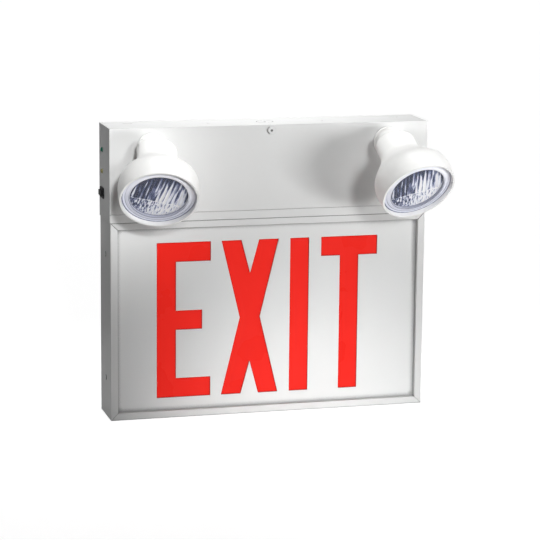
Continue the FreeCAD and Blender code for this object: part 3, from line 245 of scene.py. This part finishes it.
def stencil_enamel():
    """The panel's paint: a painted highlight along the cut letters, and painted shade where it runs under the
    frame.
    """
    finish = Finish("panel_enamel", PANEL_PAINT, 0.5, Specular_IOR_Level=DULL_SPECULAR)
    clouds = finish.noise(7.0, 3.0)
    paint = finish.ramp(clouds, (0.3, shaded(PANEL_PAINT, 0.975)), (0.7, PANEL_PAINT))
    # painted highlight along the cut letters
    mask, rounded = finish.edge_mask(CUT_RADIUS)
    edge_lit = finish.blend(mask, paint, (0.98, 0.93, 0.92))
    # painted shade where the panel runs under the frame
    finish.colour_by(finish.painted_crevice_shade(edge_lit, FRAME_REACH, grey(0.34)))
    finish.roughness_by(clouds, 0.44, 0.55)
    finish.relief(finish.noise(1500.0, 3.0), 0.015 * MM, rounded)
    return finish.material


def moulded(name, colour, roughness, grain=1800.0, depth=0.02, **sockets):
    """Moulded plastic with a fine spark-eroded texture and slight unevenness of colour."""
    finish = Finish(name, colour, roughness, **sockets)
    cloud = finish.noise(35.0, 3.0)
    finish.colour_by(finish.ramp(cloud, (0.3, shaded(colour, 0.93)), (0.7, shaded(colour, 1.03))))
    finish.roughness_by(cloud, roughness - 0.04, roughness + 0.08)
    finish.relief(finish.noise(grain, 2.0), depth * MM)
    return finish.material


def plated(name, colour, roughness):
    """Plated metal with fine drawn lines, faint stains and painted shade in recesses."""
    finish = Finish(name, colour, roughness, metallic=1.0)
    lines = finish.noise(1.0, 4.0, finish.stretched(2400.0, 180.0, 180.0))
    stains = finish.noise(120.0, 3.0)
    worn = finish.ramp(stains, (0.3, shaded(colour, 0.8)), (0.7, colour))
    # painted shade in recesses
    finish.colour_by(finish.painted_crevice_shade(worn, RECESS_REACH, grey(0.01)))
    finish.roughness_by(lines, roughness - 0.07, roughness + 0.12)
    finish.relief(lines, 0.01 * MM)
    return finish.material


def red_sheet():
    """Translucent red sheet lit from inside, with painted shade right beside the cut edges of the letters."""
    finish = Finish("red_sheet", (0.86, 0.03, 0.02), 0.45, Specular_IOR_Level=0.1,
                    Emission_Strength=0.42)
    cloud = finish.noise(16.0, 3.0)
    sheet = finish.ramp(cloud, (0.3, (0.46, 0.009, 0.006)), (0.7, (0.50, 0.012, 0.008)))
    # painted shade beside the cut edges, in the sheet's colour and in its glow
    finish.colour_by(finish.painted_crevice_shade(sheet, RECESS_REACH, (0.05, 0.003, 0.003)))
    glow = finish.painted_crevice_shade((1.0, 0.02, 0.01), RECESS_REACH, (0.35, 0.01, 0.005))
    finish.link(glow, finish.shader.inputs["Emission Color"])
    finish.roughness_by(cloud, 0.26, 0.36)
    finish.relief(finish.noise(700.0, 2.0), 0.01 * MM)
    return finish.material


def circuit_board():
    """Green solder mask with copper tracks showing through it."""
    mask = (0.03, 0.16, 0.07)
    finish = Finish("solder_mask", mask, 0.3)
    tracks = finish.node("ShaderNodeTexBrick")
    tracks.inputs["Scale"].default_value = 90.0
    tracks.inputs["Color1"].default_value = (*mask, 1.0)
    tracks.inputs["Color2"].default_value = (0.04, 0.20, 0.09, 1.0)
    tracks.inputs["Mortar"].default_value = (0.07, 0.28, 0.12, 1.0)
    tracks.inputs["Mortar Size"].default_value = 0.012
    swap = finish.node("ShaderNodeMapping")
    swap.inputs["Rotation"].default_value = (math.pi / 2, 0.0, 0.0)
    finish.link(finish.place, swap.inputs["Vector"])
    finish.link(swap.outputs["Vector"], tracks.inputs["Vector"])
    finish.colour_by(tracks.outputs["Color"])
    finish.relief(tracks.outputs["Fac"], 0.03 * MM)
    return finish.material


def wound_tape():
    """Yellow polyester tape in close turns."""
    finish = Finish("winding_tape", (0.72, 0.55, 0.12), 0.35)
    turns = finish.node("ShaderNodeTexWave", bands_direction="Z")
    turns.inputs["Scale"].default_value = 160.0
    turns.inputs["Distortion"].default_value = 1.5
    finish.link(finish.place, turns.inputs["Vector"])
    finish.colour_by(finish.ramp(turns.outputs["Fac"], (0.0, (0.5, 0.36, 0.06)), (1.0, (0.78, 0.62, 0.16))))
    finish.relief(turns.outputs["Fac"], 0.1 * MM)
    return finish.material


def laminated_core():
    """The edges of stacked steel sheets under varnish."""
    finish = Finish("core_laminations", (0.22, 0.21, 0.20), 0.42, metallic=0.8)
    sheets = finish.node("ShaderNodeTexWave", bands_direction="Z")
    sheets.inputs["Scale"].default_value = 320.0
    sheets.inputs["Distortion"].default_value = 0.6
    finish.link(finish.place, sheets.inputs["Vector"])
    finish.colour_by(finish.ramp(sheets.outputs["Fac"], (0.0, (0.09, 0.08, 0.07)), (1.0, (0.30, 0.29, 0.28))))
    finish.relief(sheets.outputs["Fac"], 0.05 * MM)
    return finish.material


def tinted_light(name, colour):
    """A tinted indicator dome with slight unevenness of colour."""
    finish = Finish(name, colour, 0.3, Specular_IOR_Level=0.1)
    cloud = finish.noise(500.0, 2.0)
    finish.colour_by(finish.ramp(cloud, (0.3, shaded(colour, 0.7)), (0.7, shaded(colour, 1.25))))
    finish.relief(cloud, 0.02 * MM)
    return finish.material


def clear_glass(name, colour, alpha):
    """Clear moulded optic seen as a thin glossy skin over what lies behind."""
    finish = Finish(name, colour, 0.08, Alpha=alpha, Specular_IOR_Level=0.4)
    cloud = finish.noise(60.0, 2.0)
    finish.colour_by(finish.ramp(cloud, (0.3, shaded(colour, 0.94)), (0.7, colour)))
    finish.relief(finish.noise(260.0, 2.0), 0.02 * MM)
    return finish.material


def bright_chrome():
    """Vacuum-metallised plastic, with a lavender cast and faint ripples."""
    tone = (0.80, 0.81, 0.88)
    finish = Finish("metallised", tone, 0.2, metallic=0.75)
    ripple = finish.noise(90.0, 3.0)
    finish.colour_by(finish.ramp(ripple, (0.3, shaded(tone, 0.9)), (0.7, tone)))
    finish.roughness_by(ripple, 0.14, 0.26)
    finish.relief(ripple, 0.08 * MM)
    return finish.material


OPTIC_RADIUS = 36.3 * MM      # fluted disc of the lens
FLUTE_PITCH = 5.2 * MM
FLUTE_DEPTH = 0.8 * MM
BREAK_HEIGHT = -12.5 * MM     # step between the upper flutes and the finer lower ones
BREAK_HALF = 1.1 * MM
BREAK_BLUR = 0.6 * MM
GLINT_SQUASH = 0.55           # heights count for less round the bulb's painted glint, so it stands tall
GLINT_PLACE = (6.0 * MM, 3.0 * MM, 0.0)
GLINT_REACH = 15.0 * MM
PAINTED_LIGHT_ACROSS, PAINTED_LIGHT_UP = 0.0042 / MM, -0.0050 / MM      # painted light: change of brightness over the disc
STREAK_SCALE = (300.0, 34.0, 1.0)                       # long streaks of painted reflection in the upper flutes
FLECK_SCALE = (480.0, 150.0, 1.0)                       # short flecks of painted reflection in the lower ones
FLUTE_SHADE, FINE_SHADE = 0.095, 0.02                   # how much painted shade and light each kind of flute shows
RIM_LINES = ((45.3 * MM, 1.0 * MM, 0.95),    # radius, half width and darkness of each dark line of painted shade
             (41.6 * MM, 0.7 * MM, 0.6),
             (37.0 * MM, 0.8 * MM, 0.7))
RIM_FADE = 22.0 * MM          # the painted shade of the lines and of the ring fades in between this far above and below the lens's middle


def prism_optic(side, axes):
    """What the flutes show of the bowl, painted as reflection: slate depths, white streaks, a painted glint round
    the bulb, and painted light that brightens one way over the disc.
    """
    finish = Finish(f"{side}_prism_optic", (0.3, 0.34, 0.45), 0.3, Specular_IOR_Level=0.1)
    finish.turn(axes)
    apart = finish.node("ShaderNodeSeparateXYZ")
    finish.link(finish.place, apart.inputs[0])
    across, up = apart.outputs["X"], apart.outputs["Y"]
    lower = finish.spread(up, BREAK_HEIGHT + BREAK_BLUR, BREAK_HEIGHT - BREAK_BLUR)
    # painted shade in each flute's valley and painted highlight on its crest
    flute = finish.math("COSINE", finish.math("MULTIPLY", across, 2 * math.pi / FLUTE_PITCH))
    # streaks and flecks of painted reflection
    streaks = finish.noise(1.0, 2.5, finish.stretched(*STREAK_SCALE), 0.35)
    flecks = finish.noise(1.0, 3.0, finish.stretched(*FLECK_SCALE), 0.5)
    # painted light that changes across and up the disc
    painted_light_slant = finish.math("ADD", finish.math("MULTIPLY", across, PAINTED_LIGHT_ACROSS),
                        finish.math("MULTIPLY", up, PAINTED_LIGHT_UP))
    upper_value = finish.math("ADD", finish.math("MULTIPLY_ADD", flute, FLUTE_SHADE, streaks), painted_light_slant)
    lower_value = finish.math("ADD", finish.math("MULTIPLY_ADD", flute, FINE_SHADE, flecks), painted_light_slant)
    # painted glint round the bulb
    from_glint = finish.node("ShaderNodeVectorMath", operation="DISTANCE")
    finish.link(finish.stretched(1.0, GLINT_SQUASH, 0.0), from_glint.inputs[0])
    from_glint.inputs[1].default_value = GLINT_PLACE
    painted_glint = finish.spread(from_glint.outputs["Value"], GLINT_REACH, 1.0 * MM, 0.0, 0.20)
    value = finish.math("ADD", finish.blend(lower, upper_value, lower_value), painted_glint)
    # painted highlight along the break between the upper and lower flutes
    painted_seam_tone = finish.spread(finish.math("ABSOLUTE", finish.math("SUBTRACT", up, BREAK_HEIGHT)),
                         BREAK_HALF, 0.2 * MM, 0.0, 0.16)
    value = finish.math("ADD", value, painted_seam_tone)
    finish.colour_by(finish.ramp(value, (0.38, (0.012, 0.018, 0.05)), (0.48, (0.06, 0.08, 0.17)),
                                 (0.545, (0.22, 0.25, 0.40)), (0.60, (0.80, 0.82, 0.92)),
                                 (0.75, (1.0, 1.0, 1.0))))
    finish.relief(streaks, 0.15 * MM)
    return finish.material


def lens_rim(side, axes):
    """The clear ring round the optic: lavender white, with thin dark lines and a darker lower part, both painted
    shade that grows towards the bottom.
    """
    finish = Finish(f"{side}_lens_rim", (0.84, 0.86, 0.95), 0.12, Specular_IOR_Level=0.3)
    finish.turn(axes)
    reach = finish.node("ShaderNodeVectorMath", operation="LENGTH")
    finish.link(finish.stretched(1.0, 1.0, 0.0), reach.inputs[0])
    radius = reach.outputs["Value"]
    apart = finish.node("ShaderNodeSeparateXYZ")
    finish.link(finish.place, apart.inputs[0])
    # painted shade that grows towards the bottom of the lens
    low = finish.spread(apart.outputs["Y"], RIM_FADE, -RIM_FADE)
    # thin dark lines of painted shade
    shade_lines = 0.0
    for line, half, darkness in RIM_LINES:
        away = finish.math("ABSOLUTE", finish.math("SUBTRACT", radius, line))
        shade_lines = finish.math("ADD", shade_lines, finish.spread(away, half, half * 0.3, 0.0, darkness))
    line_breakup = finish.noise(160.0, 3.0)
    share = finish.math("MULTIPLY", finish.math("MULTIPLY", shade_lines, low),
                        finish.spread(line_breakup, 0.25, 0.5, 0.55, 1.0), clamp=True)
    # the ring darkens towards the bottom: painted shade
    pale = finish.blend(finish.math("MULTIPLY", low, 0.55), (0.90, 0.91, 0.97), (0.62, 0.65, 0.80))
    finish.colour_by(finish.blend(share, pale, (0.05, 0.06, 0.13)))
    finish.relief(finish.noise(260.0, 2.0), 0.02 * MM)
    return finish.material


FINISHES = {
    "painted_steel": enamel("powder_coat"),
    "panel_white": stencil_enamel(),
    "red_acrylic": red_sheet(),
    "battery_case": moulded("battery_case", (0.045, 0.045, 0.05), 0.5),
    "plated_steel": plated("zinc_plate", (0.62, 0.61, 0.58), 0.32),
    "circuit_board": circuit_board(),
    "core_steel": laminated_core(),
    "winding_tape": wound_tape(),
    "black_plastic": moulded("black_moulding", (0.010, 0.010, 0.011), 0.6,
                             Specular_IOR_Level=DULL_SPECULAR),
    "button_plastic": moulded("button_moulding", (0.012, 0.012, 0.013), 0.55, 2600.0, 0.01,
                              Specular_IOR_Level=DULL_SPECULAR),
    "terminal_plastic": moulded("terminal_moulding", (0.03, 0.26, 0.11), 0.45),
    "green_light": tinted_light("green_dome", (0.01, 0.12, 0.075)),
    "amber_light": tinted_light("amber_dome", (0.26, 0.24, 0.11)),
    "light_chip": moulded("chip_phosphor", (0.85, 0.78, 0.42), 0.4),
    "bushing_plastic": moulded("nylon", (0.06, 0.06, 0.06), 0.5),
    "white_plastic": moulded("white_moulding", (0.96, 0.96, 0.945), 0.38, 1500.0, 0.015),
    "socket_plastic": moulded("ceramic_socket", (0.72, 0.70, 0.62), 0.55),
    "mirror_coat": bright_chrome(),
    "bulb_glass": clear_glass("bulb_glass", (0.93, 0.94, 0.96), 0.35),
    "clear_lens": clear_glass("lens_skin", (0.80, 0.83, 0.93), 0.08),
}

for part in record["subparts"]:
    cad_object = frame["nodes"][part["node"]]
    cad_object.data.materials.clear()
    cad_object.data.materials.append(FINISHES[part["material_slot"]])


def top_mitres():
    """The outer and inner corner of each mitre at the top of the sign frame's front, in its own axes."""
    window = next(item for item in record["physics"]["openings"] if item["name"] == "sign_window")
    frame_low, frame_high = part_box("sign_frame")
    window_low, window_high = map(Vector, window["box_m"])
    into_frame = frame["nodes"]["sign_frame"].matrix_world.inverted()
    return [(into_frame @ Vector((outer, frame_low.y, frame_high.z)),
             into_frame @ Vector((inner, frame_low.y, window_high.z)))
            for outer, inner in ((frame_low.x, window_low.x), (frame_high.x, window_high.x))]


# the cover's seams get a lighter painted shade than the rest of the paint
frame["nodes"]["front_cover"].data.materials[0] = enamel("cover_coat", painted_seam_tone=0.62)
frame["nodes"]["sign_frame"].data.materials[0] = enamel("frame_coat", corners=top_mitres())


# ---- lamp lenses --------------------------------------------------------------------------------------

LENS_RADIUS = 46.2 * MM
LENS_BACK = 73.25 * MM        # along the lamp's axis from its tilt pivot
LENS_EDGE = 2.5 * MM
LENS_CROWN = 3.5 * MM
BEAD_RADIUS = 38.2 * MM       # raised ring round the fluted disc
BEAD_HALF = 1.2 * MM
BEAD_RISE = 0.5 * MM
BEAD_STEPS = (1.0, 0.5, 0.0, -0.5, -1.0)                # rings over the bead, in mm from its radius
OUTER_RINGS = (44.5, 42.0, 40.0)                        # rings of the lens's front, in mm
INNER_RINGS = (36.0, 32.0, 26.0, 19.0, 12.0, 5.0)
TILT_MOST = 70.0              # the steepest aim, which the tilt joint's upper limit reaches
COLUMNS, ROWS = 160, 72       # cells across and up the fluted disc
SKIN, OPTIC, RIM = range(3)   # the lens's material slots
SHARP_ANGLE = math.radians(40)
FLUTE_FADE = 0.04             # share of the radius in which the flutes die out at the disc's edge


def flute_height(x, y):
    """How far the back of the lens is hollowed at a place on the fluted disc."""
    inside = max(0.0, 1.0 - math.hypot(x, y) / OPTIC_RADIUS)
    fade = min(1.0, inside / FLUTE_FADE)
    if abs(y - BREAK_HEIGHT) < BREAK_HALF:
        return 0.0
    fine = y < BREAK_HEIGHT
    pitch = FLUTE_PITCH / 2 if fine else FLUTE_PITCH
    depth = FLUTE_DEPTH * (0.5 if fine else 1.0)
    return fade * depth * (0.5 - 0.5 * math.cos(2 * math.pi * x / pitch))


def crown_height(radius):
    """The front of the lens along the lamp's axis, at a radius."""
    ball = (LENS_RADIUS ** 2 + LENS_CROWN ** 2) / (2 * LENS_CROWN)
    bead = max(0.0, 1.0 - ((radius - BEAD_RADIUS) / BEAD_HALF) ** 2) * BEAD_RISE
    return LENS_BACK + LENS_EDGE + LENS_CROWN - ball + math.sqrt(ball ** 2 - radius ** 2) + bead


def fluted_disc():
    """Points of the fluted disc, their numbers by column and row, and its faces."""
    points, grid = [], []
    for column in range(COLUMNS + 1):
        angle = -math.pi / 2 + math.pi * column / COLUMNS
        x = OPTIC_RADIUS * math.sin(angle)
        half = OPTIC_RADIUS * math.cos(angle)
        start = len(points)
        if column in (0, COLUMNS):
            points.append((x, 0.0, LENS_BACK))
            grid.append([start] * (ROWS + 1))
            continue
        for row in range(ROWS + 1):
            y = half * (2 * row / ROWS - 1)
            points.append((x, y, LENS_BACK + flute_height(x, y)))
        grid.append(list(range(start, start + ROWS + 1)))
    cells = [dict.fromkeys((grid[column][row], grid[column][row + 1],
                            grid[column + 1][row + 1], grid[column + 1][row]))
             for column in range(COLUMNS) for row in range(ROWS)]
    return points, grid, [tuple(cell) for cell in cells if len(cell) > 2]


def lens_mesh(name, axes, optic, rim):
    """One closed lens along a lamp's axes: fluted disc and flat ring behind, edge, and crowned front."""
    points, grid, faces = fluted_disc()
    optic_faces = len(faces)
    loop = [grid[column][ROWS] for column in range(COLUMNS + 1)]
    loop += [grid[column][0] for column in range(COLUMNS - 1, 0, -1)]
    angles = [math.atan2(points[index][1], points[index][0]) for index in loop]
    radii = [LENS_RADIUS, *(ring * MM for ring in OUTER_RINGS),
             *(BEAD_RADIUS + step * MM for step in BEAD_STEPS), *(ring * MM for ring in INNER_RINGS)]
    profile = [(LENS_RADIUS, LENS_BACK)] + [(radius, crown_height(radius)) for radius in radii]
    for radius, height in profile:
        start = len(points)
        points += [(radius * math.cos(angle), radius * math.sin(angle), height) for angle in angles]
        ring = list(range(start, start + len(angles)))
        faces += [(loop[number], loop[number - 1], ring[number - 1], ring[number])
                  for number in range(len(ring))]
        loop = ring
    points.append((0.0, 0.0, crown_height(0.0)))
    faces += [(loop[number], loop[number - 1], len(points) - 1) for number in range(len(loop))]
    mesh = bpy.data.meshes.new(name)
    mesh.from_pydata([axes @ Vector(point) for point in points], [], faces)
    mesh.update()
    into_lamp = axes.inverted()
    for number, polygon in enumerate(mesh.polygons):
        place = into_lamp @ polygon.center
        if number < optic_faces:
            polygon.material_index = OPTIC
        elif math.hypot(place.x, place.y) > OPTIC_RADIUS:
            polygon.material_index = RIM
        else:
            polygon.material_index = SKIN
        polygon.use_smooth = True
    mesh.set_sharp_from_angle(angle=SHARP_ANGLE)
    for material in (FINISHES["clear_lens"], optic, rim):
        mesh.materials.append(material)
    return mesh


def lamp_axes(joint):
    """The lamp's own axes: X across, Y up its lens, Z out of its lens, from its tilt joint."""
    across = Vector(joint["axis"]).normalized()
    tilt = math.radians(TILT_MOST - joint["range_deg"][1])
    level = Vector((0.0, -1.0, 0.0))
    out = Matrix.Rotation(tilt, 3, across) @ level
    return Matrix((across, out.cross(across), out)).transposed()


for side in ("left", "right"):
    tilt_joint = next(item for item in frame["joints"] if item["name"] == f"{side}_lamp_tilt")
    axes = lamp_axes(tilt_joint)
    lens = bpy.data.objects.new(f"{side}_fluted_lens",
                                lens_mesh(f"{side}_fluted_lens", axes,
                                          prism_optic(side, axes), lens_rim(side, axes)))
    bpy.context.scene.collection.objects.link(lens)
    lens.location = tilt_joint["pos_m"]
    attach(lens, f"{side}_head")
    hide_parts(f"{side}_lens")


# ---- studio -------------------------------------------------------------------------------------------

cabinet_low = Vector(map(min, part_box("back_box")[0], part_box("sign_frame")[0]))
cabinet_high = Vector(map(max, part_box("back_box")[1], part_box("sign_frame")[1]))
middle = (cabinet_low + cabinet_high) / 2
AIM = Vector((middle.x, cabinet_low.y, middle.z))

CAMERA_AZIMUTH = math.radians(15.28)    # from the left
CAMERA_ELEVATION = math.radians(11.14)
CAMERA_ROLL = math.radians(0.56)
CAMERA_DISTANCE = 2.94
CAMERA_LENS = 152.0
FLOOR_REACH = 30.0
FLOOR_GAP = 0.3 * MM


def add_camera():
    """The camera, aimed at the middle of the cabinet's front from the left and above."""
    forward = Vector((math.sin(CAMERA_AZIMUTH) * math.cos(CAMERA_ELEVATION),
                      math.cos(CAMERA_AZIMUTH) * math.cos(CAMERA_ELEVATION), -math.sin(CAMERA_ELEVATION)))
    level = Vector((math.cos(CAMERA_AZIMUTH), -math.sin(CAMERA_AZIMUTH), 0.0))
    right = Matrix.Rotation(-CAMERA_ROLL, 3, forward) @ level
    up = right.cross(forward)
    data = bpy.data.cameras.new("camera")
    data.lens = CAMERA_LENS
    data.sensor_width = 36.0
    camera = bpy.data.objects.new("camera", data)
    camera.matrix_world = Matrix((right, up, -forward)).transposed().to_4x4()
    camera.location = AIM - forward * CAMERA_DISTANCE
    bpy.context.scene.collection.objects.link(camera)
    bpy.context.scene.camera = camera


def front_place(across, up):
    """A place in the plane of the cabinet's front."""
    return Vector((across, cabinet_low.y, up))


def hang_light(name, data, place, target):
    """A light at a place, facing a target."""
    lamp = bpy.data.objects.new(name, data)
    lamp.location = place
    lamp.rotation_mode = "QUATERNION"
    lamp.rotation_quaternion = (Vector(target) - Vector(place)).to_track_quat("-Z", "Y")
    bpy.context.scene.collection.objects.link(lamp)


def add_area(name, place, target, width, height, power, spread):
    """A rectangular light, with its spread in degrees."""
    data = bpy.data.lights.new(name, "AREA")
    data.shape = "RECTANGLE"
    data.size, data.size_y = width, height
    data.energy = power
    data.spread = math.radians(spread)
    hang_light(name, data, place, target)


def add_spot(name, place, target, angle, blend, softness, power):
    """A round light with a cone, its angle in degrees and its softness a radius in metres."""
    data = bpy.data.lights.new(name, "SPOT")
    data.spot_size = math.radians(angle)
    data.spot_blend = blend
    data.shadow_soft_size = softness
    data.energy = power
    hang_light(name, data, place, target)


def seen_ray(tree):
    """1 for a ray that shows the background itself: camera, glossy or transmission."""
    path = tree.nodes.new("ShaderNodeLightPath")
    total = path.outputs["Is Camera Ray"]
    for output in ("Is Glossy Ray", "Is Transmission Ray"):
        most = tree.nodes.new("ShaderNodeMath")
        most.operation = "MAXIMUM"
        tree.links.new(total, most.inputs[0])
        tree.links.new(path.outputs[output], most.inputs[1])
        total = most.outputs[0]
    return total


def add_world(strength):
    """A white background to the eye, which lights the object at a lower strength."""
    world = bpy.data.worlds.new("studio")
    bpy.context.scene.world = world
    world.use_nodes = True
    tree = world.node_tree
    background = tree.nodes["Background"]
    background.inputs["Color"].default_value = (1.0, 1.0, 1.0, 1.0)
    level = tree.nodes.new("ShaderNodeMapRange")
    level.inputs["To Min"].default_value = strength
    level.inputs["To Max"].default_value = 1.0
    tree.links.new(seen_ray(tree), level.inputs["Value"])
    tree.links.new(level.outputs[0], background.inputs["Strength"])


def add_floor(glow):
    """A pale floor that shows as white and keeps the shadow."""
    mesh = bpy.data.meshes.new("floor")
    corners = [(-1.0, -1.0), (1.0, -1.0), (1.0, 1.0), (-1.0, 1.0)]
    mesh.from_pydata([(x * FLOOR_REACH, y * FLOOR_REACH, 0.0) for x, y in corners], [], [(0, 1, 2, 3)])
    floor = bpy.data.objects.new("floor", mesh)
    floor.location.z = cabinet_low.z - FLOOR_GAP
    bpy.context.scene.collection.objects.link(floor)
    finish = Finish("floor_paper", (0.55, 0.55, 0.55), 0.9)
    finish.set("Emission Color", (1.0, 1.0, 1.0, 1.0))
    seen = seen_ray(finish.tree)
    finish.link(finish.math("MULTIPLY", seen, glow), finish.shader.inputs["Emission Strength"])
    finish.relief(finish.noise(300.0), 0.05 * MM)
    mesh.materials.append(finish.material)


ABOVE_RIGHT_END = front_place(0.165, 0.10)
BELOW_FRONT = front_place(0.065, -0.40)
LEFT_END = front_place(-0.215, 0.012)
RIGHT_HEAD = (0.175, -0.12, 0.02)
WORLD_LIGHT = 0.09
FLOOR_GLOW = 0.9

bpy.context.scene.view_settings.view_transform = "Standard"
add_camera()
add_world(WORLD_LIGHT)
add_floor(FLOOR_GLOW)
add_area("top_softbox", place=(0.0, 0.0, 0.85), target=(0.0, 0.0, 0.0), width=0.5, height=0.1,
         power=0.72, spread=50.0)
add_spot("side_spot", place=(1.2, -1.4, -0.25), target=ABOVE_RIGHT_END, angle=30.7, blend=0.57,
         softness=0.42, power=178.0)
add_spot("front_spot", place=(0.3, -2.3, 0.6), target=ABOVE_RIGHT_END, angle=26.2, blend=0.46,
         softness=0.2, power=71.0)
add_spot("low_spot", place=(0.3, -2.3, 0.0), target=BELOW_FRONT, angle=15.0, blend=0.9,
         softness=0.1, power=150.0)
add_spot("head_spot", place=(-1.2, -1.6, 0.2), target=RIGHT_HEAD, angle=4.6, blend=1.0,
         softness=0.1, power=95.0)
add_spot("left_spot", place=(-0.35, -1.8, 0.6), target=LEFT_END, angle=7.0, blend=1.0,
         softness=0.1, power=150.0)
